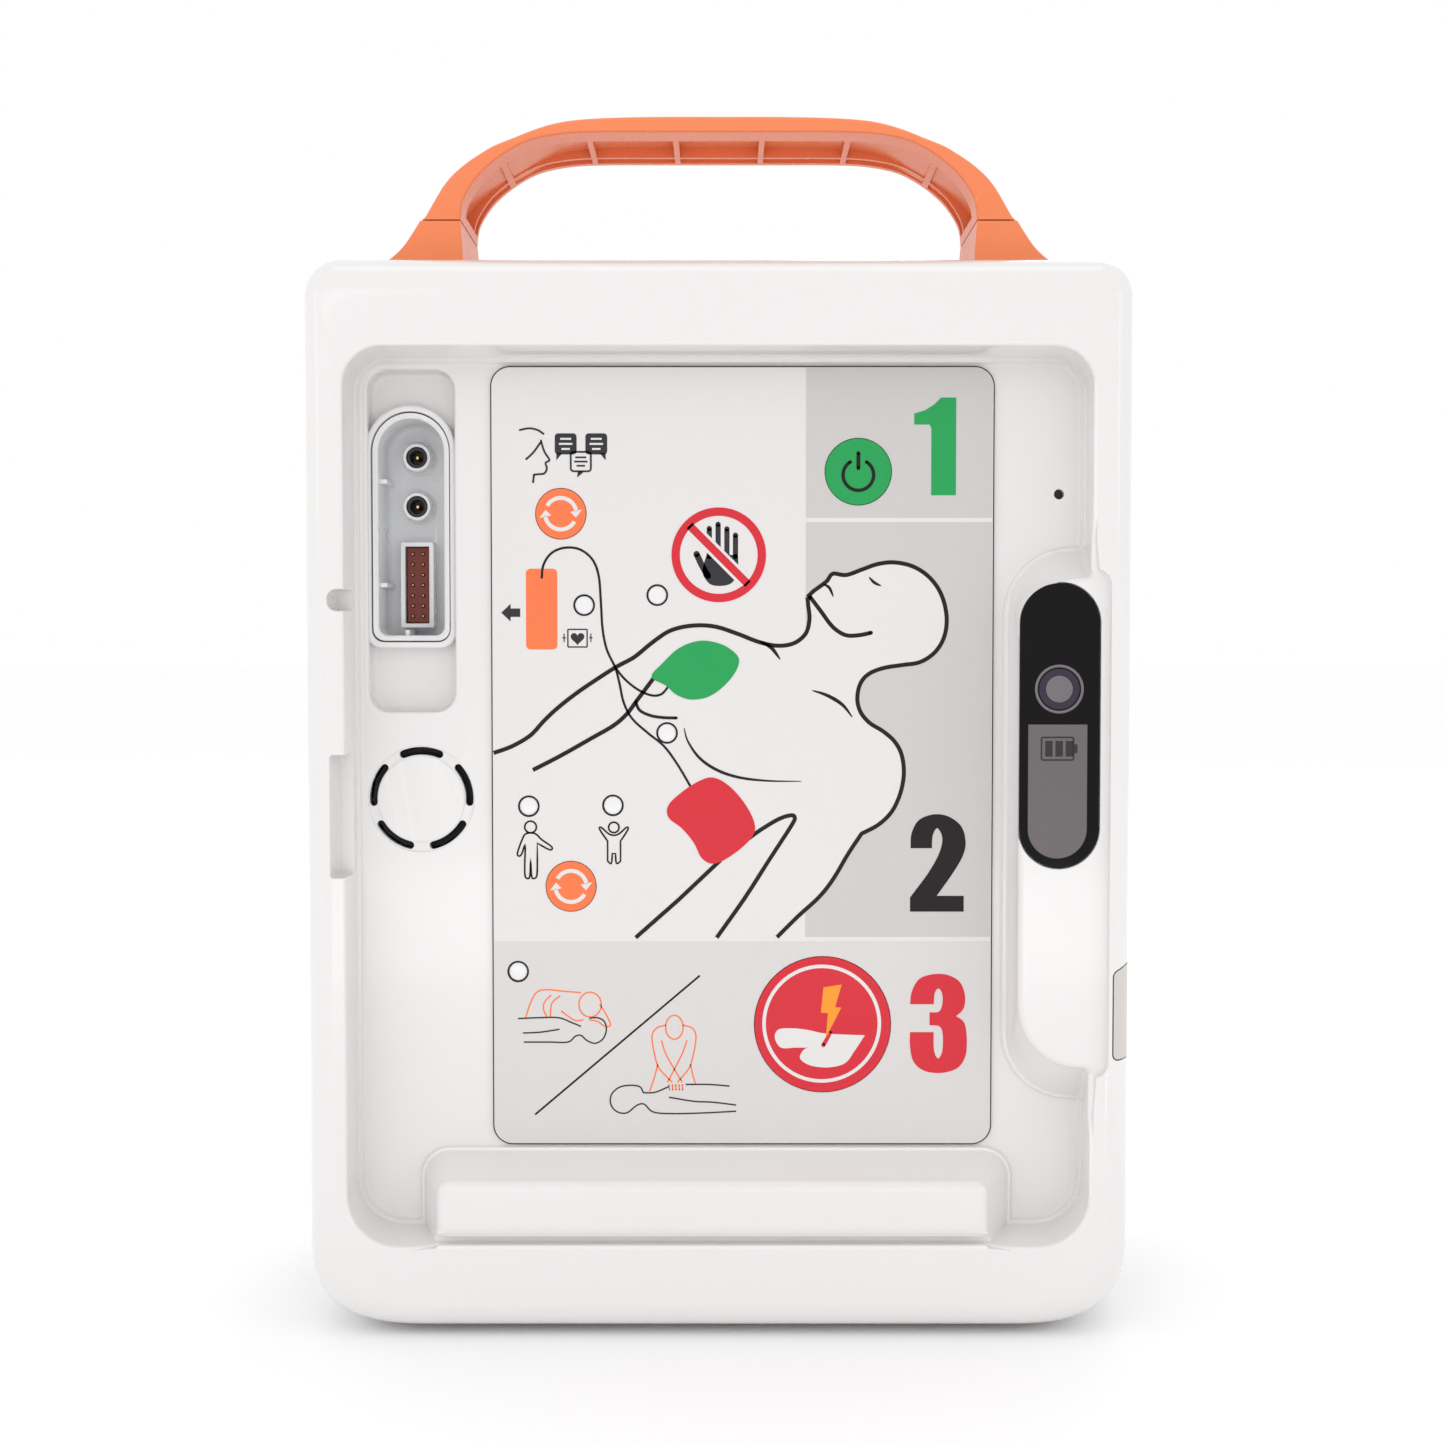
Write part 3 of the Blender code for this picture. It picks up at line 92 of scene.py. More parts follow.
def surface(name, colour, rough, metallic=0.0, vary=0.03, spread=0.05, grain=(900, 0.02), blotch=14,
        stretch=None, coat=0.0, ior=1.47, specular=0.5, wear=0.0):
    """A moulded or painted surface: slow colour variation, uneven gloss, fine texture and worn edges."""
    material = bpy.data.materials.new(name)
    material.use_nodes = True
    tree = material.node_tree
    shader = tree.nodes["Principled BSDF"]
    shader.inputs["Metallic"].default_value = metallic
    shader.inputs["IOR"].default_value = ior
    shader.inputs["Coat Weight"].default_value = coat
    shader.inputs["Coat Roughness"].default_value = 0.08
    shader.inputs["Specular IOR Level"].default_value = specular
    slow = noise_of(tree, blotch, 4.0, stretch)
    mix = node_of(tree, "ShaderNodeMix", data_type="RGBA")
    mix.inputs["A"].default_value = (*[c * (1 - vary) for c in colour], 1)
    mix.inputs["B"].default_value = (*[min(1.0, c * (1 + vary)) for c in colour], 1)
    tree.links.new(slow, mix.inputs["Factor"])
    shade = mix.outputs["Result"]
    if wear:
        geometry = tree.nodes.new("ShaderNodeNewGeometry")
        edge = node_of(tree, "ShaderNodeMapRange")
        edge.inputs["From Min"].default_value = 0.53
        edge.inputs["From Max"].default_value = 0.62
        edge.inputs["To Max"].default_value = wear
        tree.links.new(geometry.outputs["Pointiness"], edge.inputs["Value"])
        worn = node_of(tree, "ShaderNodeMix", data_type="RGBA")
        worn.inputs["B"].default_value = (*[min(1.0, c * 1.25 + 0.05) for c in colour], 1)
        tree.links.new(edge.outputs["Result"], worn.inputs["Factor"])
        tree.links.new(shade, worn.inputs["A"])
        shade = worn.outputs["Result"]
    tree.links.new(shade, shader.inputs["Base Color"])
    patch = noise_of(tree, blotch * 5, 5.0, stretch)
    tree.links.new(ranged(tree, patch, max(0.02, rough - spread), rough + spread), shader.inputs["Roughness"])
    fine = noise_of(tree, grain[0], 2.0, stretch)
    bump = node_of(tree, "ShaderNodeBump", Strength=grain[1], Distance=0.0004)
    tree.links.new(fine, bump.inputs["Height"])
    tree.links.new(bump.outputs["Normal"], shader.inputs["Normal"])
    return material


# Name: colour, roughness and the other values that surface() takes
LOOKS = {
    "shell_white": ((0.775, 0.762, 0.757), 0.2, dict(vary=0.01, spread=0.012, grain=(500, 0.012), coat=0.4,
        wear=0.3)),
    "shell_white_rear": ((0.77, 0.757, 0.752), 0.27, dict(vary=0.01, spread=0.012, grain=(500, 0.008),
        coat=0.2, wear=0.2)),
    "handle_orange": ((0.87, 0.25, 0.108), 0.27, dict(vary=0.03, spread=0.02, grain=(450, 0.012),
        specular=0.14, wear=0.2)),
    "film_white": ((0.735, 0.712, 0.703), 0.34, dict(vary=0.008, grain=(1600, 0.04))),
    "ink_grey": ((0.575, 0.55, 0.54), 0.36, dict(vary=0.02, grain=(1600, 0.05))),
    "ink_pale": ((0.66, 0.635, 0.625), 0.36, dict(vary=0.02, grain=(1600, 0.05))),
    "ink_white": ((0.735, 0.712, 0.703), 0.34, dict(vary=0.008, grain=(1600, 0.04))),
    "ink_black": ((0.014, 0.011, 0.012), 0.4, dict(vary=0.08, grain=(1600, 0.04), specular=0.2)),
    "ink_charcoal": ((0.034, 0.034, 0.04), 0.4, dict(vary=0.06, grain=(1600, 0.04), specular=0.2)),
    "ink_green": ((0.02, 0.34, 0.09), 0.36, dict(vary=0.04, grain=(1600, 0.04), specular=0.25)),
    "ink_red": ((0.65, 0.027, 0.043), 0.36, dict(vary=0.04, grain=(1600, 0.04), specular=0.25)),
    "ink_orange": ((0.9, 0.195, 0.07), 0.36, dict(vary=0.03, grain=(1600, 0.04), specular=0.25)),
    "ink_amber": ((0.95, 0.32, 0.03), 0.36, dict(vary=0.03, grain=(1600, 0.04), specular=0.25)),
    "lens": ((0.8, 0.79, 0.8), 0.2, dict(vary=0.02, coat=0.4)),
    "well_grey": ((0.77, 0.775, 0.785), 0.3, dict(vary=0.02, grain=(900, 0.03), coat=0.15, wear=0.5)),
    "socket_black": ((0.02, 0.02, 0.02), 0.35, dict(vary=0.1)),
    "header_red": ((0.17, 0.022, 0.012), 0.42, dict(vary=0.1, grain=(1500, 0.06))),
    "gold": ((0.8, 0.52, 0.2), 0.25, dict(metallic=1.0, vary=0.05, grain=(2000, 0.04))),
    "window_black": ((0.006, 0.005, 0.006), 0.06, dict(vary=0.15, spread=0.02, grain=(300, 0.004),
        specular=0.12)),
    "display_grey": ((0.125, 0.11, 0.116), 0.3, dict(vary=0.06, spread=0.03, grain=(2500, 0.05))),
    "display_ring": ((0.15, 0.135, 0.145), 0.3, dict(vary=0.05, grain=(2500, 0.03))),
    "display_violet": ((0.016, 0.009, 0.03), 0.3, dict(vary=0.06, grain=(2500, 0.03))),
    "display_ink": ((0.012, 0.012, 0.014), 0.25, dict(vary=0.1)),
    "lever_grey": ((0.6, 0.575, 0.55), 0.3, dict(vary=0.03, grain=(1200, 0.06), coat=0.1, wear=0.3)),
    "pack_grey": ((0.3, 0.31, 0.325), 0.42, dict(vary=0.05, grain=(1400, 0.16), wear=0.2)),
    "latch_orange": ((0.9, 0.22, 0.05), 0.3, dict(vary=0.04, grain=(1200, 0.1), wear=0.15)),
    "black_plastic": ((0.025, 0.025, 0.027), 0.5, dict(vary=0.12, grain=(1400, 0.15), wear=0.1)),
    "rubber": ((0.03, 0.03, 0.032), 0.75, dict(vary=0.15, grain=(1800, 0.3))),
    "steel": ((0.56, 0.56, 0.57), 0.28, dict(metallic=1.0, vary=0.08, stretch=(1, 14, 1), grain=(900, 0.08))),
    "aluminium": ((0.7, 0.71, 0.72), 0.36, dict(metallic=1.0, vary=0.06, stretch=(12, 1, 1))),
    "board_green": ((0.02, 0.16, 0.055), 0.38, dict(vary=0.2, blotch=160, grain=(700, 0.2), coat=0.3)),
    "sleeve_blue": ((0.04, 0.075, 0.28), 0.32, dict(vary=0.08, grain=(300, 0.06), coat=0.3)),
    "ribbon": ((0.62, 0.62, 0.6), 0.45, dict(vary=0.06, stretch=(1, 1, 40), grain=(500, 0.1))),
    "lead_red": ((0.5, 0.02, 0.02), 0.4, dict(vary=0.06)),
    "lead_white": ((0.7, 0.7, 0.68), 0.4, dict(vary=0.04)),
}
LOOKS = {name: surface(name, colour, rough, **options) for name, (colour, rough, options) in LOOKS.items()}


# ---- outlines in X and Z

def quarter(steps):
    """Angles from 0 to a quarter turn."""
    return [pi / 2 * i / steps for i in range(steps + 1)]


def arc(centre, radii, start, end, steps):
    return [(centre[0] + radii[0] * cos(start + (end - start) * i / steps),
            centre[1] + radii[1] * sin(start + (end - start) * i / steps)) for i in range(steps + 1)]


def circle(centre, radius, steps=48):
    return arc(centre, (radius, radius), 2 * pi, 2 * pi / steps, steps - 1)


def rounded(corners, steps=8):
    """A closed clockwise outline of (x, z, radius) corners. A corner of radius 0 stays one plain point."""
    points = []
    for index, (x, z, radius, *_) in enumerate(corners):
        here = Vector((x, z))
        if radius == 0:
            points.append((x, z))
            continue
        before = (Vector(corners[index - 1][:2]) - here).normalized()
        after = (Vector(corners[(index + 1) % len(corners)][:2]) - here).normalized()
        half = before.angle(after) / 2
        centre = here + (before + after).normalized() * radius / sin(half)
        start = here + before * radius / tan(half) - centre
        turn = before.angle_signed(-after)
        points += [tuple(centre + Matrix.Rotation(-turn * i / steps, 2) @ start) for i in range(steps + 1)]
    return points


def per_point(corners, column, steps=8):
    """The corners' value in that column, repeated for each of the points rounded() makes."""
    values = []
    for corner in corners:
        values += [corner[column]] * (1 if corner[2] == 0 else steps + 1)
    return np.array(values, float)


def rectangle(x, z, radius, steps=8):
    return rounded([(x[0], z[1], radius), (x[1], z[1], radius), (x[1], z[0], radius), (x[0], z[0], radius)],
            steps)


def stadium(x, z, foot=None, steps=24):
    """An upright slot with round ends, or with a round top and foot corners of a radius."""
    radius, middle = (x[1] - x[0]) / 2, sum(x) / 2
    top = arc((middle, z[1] - radius), (radius, radius), pi, 0, steps)
    if foot is None:
        return top + arc((middle, z[0] + radius), (radius, radius), 0, -pi, steps)
    right = arc((x[1] - foot, z[0] + foot), (foot, foot), 0, -pi / 2, 6)
    left = arc((x[0] + foot, z[0] + foot), (foot, foot), -pi / 2, -pi, 6)
    return top + right + left


def offset(outline, amount):
    """A closed clockwise outline moved outwards. amount is one number or one for each point."""
    points = np.array(outline, float)
    edges = np.roll(points, -1, axis=0) - points
    lengths = np.linalg.norm(edges, axis=1, keepdims=True)
    normals = np.stack([-edges[:, 1], edges[:, 0]], axis=1) / np.maximum(lengths, 1e-9)
    mean = normals + np.roll(normals, 1, axis=0)
    mean /= np.maximum((mean ** 2).sum(axis=1, keepdims=True) / 2, 1e-6)
    return points + mean * np.reshape(np.broadcast_to(amount, len(points)), (-1, 1))


def smooth(points, closed=False, steps=6):
    """A curve through (x, z) points. A point written with a third value is a sharp corner."""
    plain = [Vector(p[:2]) for p in points]
    sharp = [len(p) > 2 for p in points]
    count = len(plain)
    made = []
    for i in range(count if closed else count - 1):
        j = (i + 1) % count
        before = plain[i - 1] if (closed or i > 0) and not sharp[i] else plain[i]
        after = plain[(j + 1) % count] if (closed or j + 1 < count) and not sharp[j] else plain[j]
        if sharp[i] and sharp[j]:
            made.append(tuple(plain[i]))
            continue
        for step in range(steps):
            t = step / steps
            a, b, c, d = before, plain[i], plain[j], after
            curve = (2 * a - 5 * b + 4 * c - d) * t * t + (3 * b - a - 3 * c + d) * t ** 3
            made.append(tuple(0.5 * (2 * b + (c - a) * t + curve)))
    if not closed:
        made.append(tuple(plain[-1]))
    return made


# ---- meshes

def new_object(name, mesh):
    made = bpy.data.objects.new(name, mesh)
    bpy.context.scene.collection.objects.link(made)
    return made


def from_bmesh(name, bm, weld=False):
    if weld:
        bmesh.ops.remove_doubles(bm, verts=bm.verts, dist=1e-7)
    bmesh.ops.recalc_face_normals(bm, faces=bm.faces)
    mesh = bpy.data.meshes.new(name)
    bm.to_mesh(mesh)
    bm.free()
    return new_object(name, mesh)


def add_loft(bm, rings, strip=False):
    """A closed body through rings of (x, y, z) points. strip closes the ends of a band with quads."""
    made = [[bm.verts.new(Vector(p) * MM) for p in ring] for ring in rings]
    for near, far in zip(made, made[1:]):
        for i in range(len(near)):
            j = (i + 1) % len(near)
            bm.faces.new((near[i], near[j], far[j], far[i]))
    for ring in (made[0], made[-1][::-1]):
        if strip:
            for i in range(len(ring) // 2 - 1):
                bm.faces.new((ring[i], ring[i + 1], ring[-2 - i], ring[-1 - i]))
        else:
            bm.faces.new(ring)


def loft(name, rings, strip=False):
    bm = bmesh.new()
    add_loft(bm, rings, strip)
    return from_bmesh(name, bm)


def at_depth(outline, y):
    """Points of an outline at one y, or at one y for each point."""
    return [(x, float(level), z) for (x, z), level in zip(outline, np.broadcast_to(y, len(outline)))]


def slab(name, outline, y, soft=0.0, steps=3):
    """A flat piece between two depths with both its rims rounded by soft."""
    turns = quarter(steps) if soft else [0]
    rings = [at_depth(offset(outline, -soft * (1 - sin(t))), y[0] + soft * (1 - cos(t))) for t in turns]
    rings += [at_depth(offset(outline, -soft * (1 - sin(t))), y[1] - soft * (1 - cos(t)))
            for t in turns[::-1]]
    return loft(name, rings)


def pocket(name, mouth, start, end, edge=0.5, floor=None, toe=0.3, above=8.0, ledge=None):
    """A cutter for a recess with a rolled mouth and a rounded foot. Depths are from the front face."""
    edge, start = np.broadcast_to(edge, len(mouth)), np.broadcast_to(start, len(mouth))
    floor = mouth if floor is None else floor
    rings = [at_depth(offset(mouth, edge), FRONT + start - above)]
    for t in quarter(5):
        rings.append(at_depth(offset(mouth, edge * (1 - sin(t))), FRONT + start + edge * (1 - cos(t))))
    if ledge:
        wide, drop = ledge
        rings.append(at_depth(offset(floor, wide), FRONT + end - drop))
        rings.append(at_depth(offset(floor, wide - 0.25), FRONT + end - drop + 0.2))
        rings.append(at_depth(offset(floor, 0.15), FRONT + end - drop + 0.25))
    for t in quarter(3):
        rings.append(at_depth(offset(floor, -toe * (1 - cos(t))), FRONT + end - toe + toe * sin(t)))
    return loft(name, rings)


def turned(name, centre, profile, steps=48):
    """A turned piece on a Y axis through (x, z), from (radius, y) points."""
    bm = bmesh.new()
    verts = [bm.verts.new((radius * MM, y * MM, 0)) for radius, y in profile]
    edges = [bm.edges.new(pair) for pair in zip(verts, verts[1:])]
    bmesh.ops.spin(bm, geom=verts + edges, cent=(0, 0, 0), axis=(0, 1, 0), angle=2 * pi, steps=steps,
            use_merge=True)
    bmesh.ops.translate(bm, verts=bm.verts, vec=(centre[0] * MM, 0, centre[1] * MM))
    return from_bmesh(name, bm, weld=True)


def round_bar(name, centre, radius, y, steps=48):
    low, high = y
    return turned(name, centre, [(0, low), (radius, low), (radius, high), (0, high)], steps)


def box(name, x, y, z):
    return loft(name, [at_depth([(x[0], z[1]), (x[1], z[1]), (x[1], z[0]), (x[0], z[0])], level)
            for level in y])


def joined(name, objects):
    """One mesh of several bodies that don't touch."""
    bm = bmesh.new()
    for item in objects:
        bm.from_mesh(item.data)
        bpy.data.objects.remove(item)
    mesh = bpy.data.meshes.new(name)
    bm.to_mesh(mesh)
    bm.free()
    return new_object(name, mesh)


def apply_modifiers(target):
    bpy.context.view_layer.update()
    graph = bpy.context.evaluated_depsgraph_get()
    mesh = bpy.data.meshes.new_from_object(target.evaluated_get(graph))
    target.modifiers.clear()
    target.data = mesh


def cut(target, *others, operation="DIFFERENCE"):
    """Applies a Boolean with each of the others in turn and removes them."""
    for other in others:
        modifier = target.modifiers.new("shape", "BOOLEAN")
        modifier.operation = operation
        modifier.object = other
        modifier.solver = "MANIFOLD"
        apply_modifiers(target)
        bpy.data.objects.remove(other)
    return target


def join_to(target, *others):
    return cut(target, *others, operation="UNION")


def rounded_edges(target, width, segments=3, angle=40):
    modifier = target.modifiers.new("edges", "BEVEL")
    modifier.width = width * MM
    modifier.segments = segments
    modifier.limit_method = "ANGLE"
    modifier.angle_limit = radians(angle)
    apply_modifiers(target)
    return target


def piece(made, look, body, stands_for=(), angle=32):
    """Gives a finished piece its smooth shading, material, body and the CAD nodes it stands for."""
    made.data.shade_smooth()
    made.data.set_sharp_from_angle(angle=radians(angle))
    weighted = made.modifiers.new("normals", "WEIGHTED_NORMAL")
    weighted.mode = "FACE_AREA"
    weighted.weight = 60
    weighted.keep_sharp = True
    made.data.materials.clear()
    made.data.materials.append(LOOKS[look])
    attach(made, body)
    if stands_for:
        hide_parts(*stands_for)
    return made


# ---- case shells

def quarter_inset(radius, depth):
    return 0.0 if depth >= radius else radius - sqrt(radius ** 2 - (radius - depth) ** 2)


def case_outline(half, top, bottom, fine=True):
    """The case from the front: round top corners and fuller, flatter bottom ones."""
    steps, wide, tall, power, corner = (12 if fine else 4), 28.6, 22.4, 2 / 2.8, 8.0
    points = arc((-half + corner, top - corner), (corner, corner), pi, pi / 2, steps)
    points += arc((half - corner, top - corner), (corner, corner), pi / 2, 0, steps)
    count = 26 if fine else 8
    foot = [(cos(a) ** power, sin(a) ** power) for a in (pi / 2 * i / count for i in range(1, count))]
    foot = [(1.0, 0.0), *foot, (0.0, 1.0)]
    points += [(half - wide + wide * c, bottom + tall - tall * s) for c, s in foot]
    points += [(-half + wide - wide * c, bottom + tall - tall * s) for c, s in reversed(foot)]
    return points


def front_section(depth, wall=0.0, fine=True):
    outer = max(depth - wall, 0.0)
    draft = 1 - min(outer / (PARTING - FRONT), 1.0)
    side, crown, foot = quarter_inset(6, outer), quarter_inset(10, outer), quarter_inset(6, outer)
    return case_outline(100 - 3.7 * draft - side - wall, 254 - crown - wall, 2.3 * draft + foot + wall, fine)


def rear_section(depth, wall=0.0, fine=True):
    outer = max(depth - wall, 0.0)
    inset = quarter_inset(8, outer) + wall
    flare = 2.8 * (1 - min(outer / (REAR - PARTING), 1.0))
    return case_outline(100 - flare - inset, 254 - inset, inset, fine)


def front_body(name, wall=0.0, back=PARTING - 0.15, fine=True):
    levels = [10 * (1 - cos(t)) for t in quarter(12)] if fine else (0, 0.8, 2.5, 5, 10)
    rings = [at_depth(front_section(d + wall, wall, fine), FRONT + wall + d) for d in levels]
    last = np.array(front_section(back - FRONT, wall, fine))
    if fine:
        rings.append(at_depth(last, back - 0.35))
        rings.append(at_depth(offset(last, -0.1), back - 0.1))
        last = offset(last, -0.35)
    return loft(name, rings + [at_depth(last, back)])


def rear_body(name, wall=0.0, front=PARTING + 0.15, fine=True):
    levels = [8 * (1 - cos(t)) for t in quarter(12)] if fine else (0, 0.8, 2.8, 8)
    rings = [at_depth(rear_section(d + wall, wall, fine), REAR - wall - d) for d in levels]
    last = np.array(rear_section(REAR - front, wall, fine))
    if fine:
        rings.append(at_depth(last, front + 0.35))
        rings.append(at_depth(offset(last, -0.1), front + 0.1))
        last = offset(last, -0.35)
    return loft(name, rings + [at_depth(last, front)])


# Panel recess: (x, z, corner radius, depth where its edge starts, edge radius)
MOUTH = [(-87.2, 232.7, 9, 0, 0.9), (87, 232.7, 9, 0, 0.9),
         (87, 193, 0, 0, 0.9), (87, 188, 0, 2, 0.9),
         (87, 179.5, 1.2, 2, 1.6), (70.3, 179.5, 15, 2, 1.6), (70.3, 63.5, 15, 2, 1.6), (87, 63.5, 1.2, 2, 1.6),
         (87, 53, 0, 2, 0.9), (87, 48, 0, 0, 0.9),
         (87, 22, 12, 0, 0.9), (69, 22, 0, 0, 0.9), (66, 22, 0, 1.2, 0.6),
         (64, 22.2, 0, 2, 0.6), (64, 25.5, 0, 2, 2.5), (64, 37.2, 3.2, 2, 2.5), (-67, 37.2, 3.2, 2, 2.5),
         (-67, 25.5, 0, 2, 2.5), (-67, 22.2, 0, 2, 0.6), (-69, 22, 0, 1.2, 0.6), (-72, 22, 0, 0, 0.9),
         (-87.2, 22, 12, 0, 0.9)]
FLOOR = [(-85.8, 230.6, 7), (86.4, 230.6, 7),
         (86.4, 196, 0), (86.4, 191, 0),
         (86.4, 186.7, 1.2), (68.1, 186.7, 16), (68.1, 54.3, 16), (86.4, 54.3, 1.2),
         (86.4, 50, 0), (86.4, 46, 0),
         (86.4, 24.8, 10), (75, 24.8, 0), (73, 24.8, 0),
         (70.5, 24.8, 0), (70.5, 28, 0), (70.5, 42.4, 7), (-71.8, 42.4, 7),
         (-71.8, 28, 0), (-71.8, 24.8, 0), (-72.8, 24.8, 0), (-73.8, 24.8, 0),
         (-85.8, 24.8, 10)]
WELL_X, WELL_Z = (-83.6, -64.6), (164.2, 219.5)
KEYS = {"power": (33.3, 204.8, 7.7), "language": (-37.7, 194.8, 5.8), "patient": (-35.5, 105.5, 5.8),
        "shock": (25, 72.1, 16.2)}
LENSES = [(-32.2, 173), (-14.7, 175.4), (-12.4, 142.4), (-45.6, 124.8), (-25.4, 125), (-48.3, 84.9)]
SCREWS = [(-86, 40), (86, 40), (-86, 226), (86, 226)]
PADS = [(-76, 62), (76, 62), (-76, 200), (76, 200)]
LEVER_X, LEVER_Z, LEVER_BACK = 92.2, (65.9, 89.8), 19.3
LEVER_PIN = 95.4, FRONT + 4.6
SPEAKER, SPEAKER_RADII = (-71.5, 126.5), (10.6, 12.5)
MICROPHONE = 81.4, 199.5
SOCKETS = [(-74.1, 209.4), (-74.1, 197.4)]
HEADER, PITCH = (-74.1, 178.2), 2.54
BAY_X, BAY_Z = (-45, 45), (38, 130)
GRIP_Y, GRIP_FOOT = (-23.5, 12.5), 266.5
NO_TOUCH = 0, 185


def grown(x, z, amount):
    return (x[0] - amount, x[1] + amount), (z[0] - amount, z[1] + amount)


def front_hollow():
    """The space behind the panel, less what the seats in front of it take."""
    hollow = front_body("hollow", WALL, PARTING + 2, fine=False)
    cut(hollow, box("keep", (-120, 120), (FRONT - 9, PANEL + WALL), (-20, 280)))
    for x, depth, z in (((-86.5, -60.7), 23.1, (144.9, 233.2)), ((90.4, 104), 21.3, (61.7, 92.3))):
        cut(hollow, box("keep", x, (FRONT + 9, FRONT + depth), z))
    return hollow


def speaker_slot(number):
    turn = pi / 2 + 2 * pi * number / 5
    ends = turn + radians(22), turn - radians(22)
    low, high = SPEAKER_RADII
    middle, width = (low + high) / 2, (high - low) / 2

    def cap(end, start, stop):
        place = SPEAKER[0] + middle * cos(end), SPEAKER[1] + middle * sin(end)
        return arc(place, (width, width), start, stop, 8)[1:-1]

    return (arc(SPEAKER, (high, high), *ends, 14) + cap(ends[1], ends[1], ends[1] - pi)
            + arc(SPEAKER, (low, low), *ends[::-1], 14) + cap(ends[0], ends[0] + pi, ends[0]))


def lever_outline(gap):
    """The lever from the front: its outer end stands higher, and its inner corners are round."""
    low, high = LEVER_Z
    return offset(rounded([(92.6, high - 3.2, 1.6), (98.4, high - 0.4, 0), (104, high - 0.2, 0),
            (104, low + 0.9, 0), (98.4, low + 0.8, 0), (92.6, low + 0.2, 1.2)], 6), gap)


def make_front_shell():
    shell = front_body("front_shell")
    cut(shell, front_hollow())
    mouth = [(x, z, r) for x, z, r, *_ in MOUTH]
    recess = pocket("recess", rounded(mouth), per_point(MOUTH, 3), 15, per_point(MOUTH, 4), rounded(FLOOR),
            0.8, ledge=(1, 1.6))
    cut(shell, recess)
    cut(shell, pocket("island", rectangle((60, 91.3), (62, 181), 3.5), 0, 2, 0.4, above=5))
    cut(shell, pocket("rest", rectangle((-75, 74), (24.6, 44), 1), 0, 2, 0.9, above=5))
    cut(shell, pocket("groove", rectangle((-70, 67), (22.35, 24.4), 0.9, 6), 0, 3.6, 0.9, toe=0.6, above=5))
    plug = pocket("plug", rectangle((-84, -63.2), (147.4, 229.2), 4.8), 15, 21, 0.7, toe=1.5)
    collar_x, collar_z = grown(WELL_X, WELL_Z, 1.5)
    collar = slab("collar", stadium(collar_x, collar_z, 4), (FRONT + 17, FRONT + 23), 0.7)
    cut(plug, collar)
    cut(shell, plug)
    cut(shell, pocket("well", stadium(WELL_X, WELL_Z, 3), 17, 25, 0.5, above=1.5))
    through = 15, 19
    holes = [pocket("hole", circle((x, z), r + 0.35, 32), *through, 0.1, above=1)
            for x, z, r in KEYS.values()]
    holes += [pocket("hole", circle(place, 2.4, 24), *through, 0.1, above=1) for place in LENSES]
    holes += [pocket("hole", circle(MICROPHONE, 1.2, 24), *through, 0.25, above=1)]
    holes += [pocket("hole", speaker_slot(i), *through, 0.25, above=1) for i in range(5)]
    cut(shell, joined("holes", holes))
    ring = turned("ring", SPEAKER, [(10.25, PANEL - 1), (12.85, PANEL - 1), (12.85, PANEL + 0.45),
            (10.25, PANEL + 0.45), (10.25, PANEL - 1)], 72)
    cut(shell, ring)
    cut(shell, pocket("window", stadium((70.1, 89.3), (111, 178.2)), 2, 3.5, 0.35, above=4))
    cut(shell, box("display", (72.9, 86.5), (FRONT + 3.1, FRONT + 8), (115.5, 144.5)))
    cut(shell, pocket("slot", rectangle((-91.1, -84), (171.4, 176.5), 2.2), 0, 10, 0.3, above=4))
    cut(shell, pocket("seat", rectangle((-90.7, -84), (109, 137.8), 0.6), 0, 10, 0.3, above=4))
    cut(shell, slab("lever", lever_outline(0.35), (FRONT - 1, FRONT + LEVER_BACK)))
    # Room for the lever's arm, which moves inwards and up under the slot's edge as the lever turns
    cut(shell, box("lever_room", (90.9, 96.2), (FRONT + 4, FRONT + LEVER_BACK), (LEVER_Z[0] - 0.3,
            LEVER_Z[1] + 0.2)))
    piece(shell, "shell_white", "case", ["front_case"])


def make_rear_shell():
    shell = rear_body("rear_shell")
    hollow = rear_body("hollow", WALL, PARTING - 2, fine=False)
    cut(hollow, box("keep", *[(low - 2, high + 2) for low, high in (BAY_X, (15, REAR - 2), BAY_Z)]))
    cut(shell, hollow)
    join_to(shell, joined("bosses", [round_bar("boss", place, 5.5, (PARTING + 1, REAR - 1))
            for place in SCREWS]))
    bay = rectangle(BAY_X, BAY_Z, 1.2, 4)
    flared = [at_depth(offset(bay, 0.5), REAR + 2)]
    flared += [at_depth(offset(bay, 0.5 * (1 - sin(t))), REAR - 0.5 * (1 - cos(t))) for t in quarter(4)]
    cut(shell, loft("bay", flared + [at_depth(bay, 15)]))
    cut(shell, box("contacts", (-14, 14), (12, 16), (48, 58)))
    cut(shell, slab("finger", rectangle((-13, 13), (120, 131.6), 3), (REAR - 6, REAR + 2)))
    heads = []
    for place in SCREWS:
        heads.append(turned("head", place, [(0, 12), (4, 12), (4, REAR - 0.5), (4.15, REAR - 0.15),
                (4.5, REAR), (4.5, REAR + 1), (0, REAR + 1)], 32))
    cut(shell, joined("heads", heads))
    cut(shell, joined("shanks", [round_bar("shank", place, 1.8, (0, 13), steps=20) for place in SCREWS]))
    piece(shell, "shell_white_rear", "case", ["rear_case"])


# ---- handle

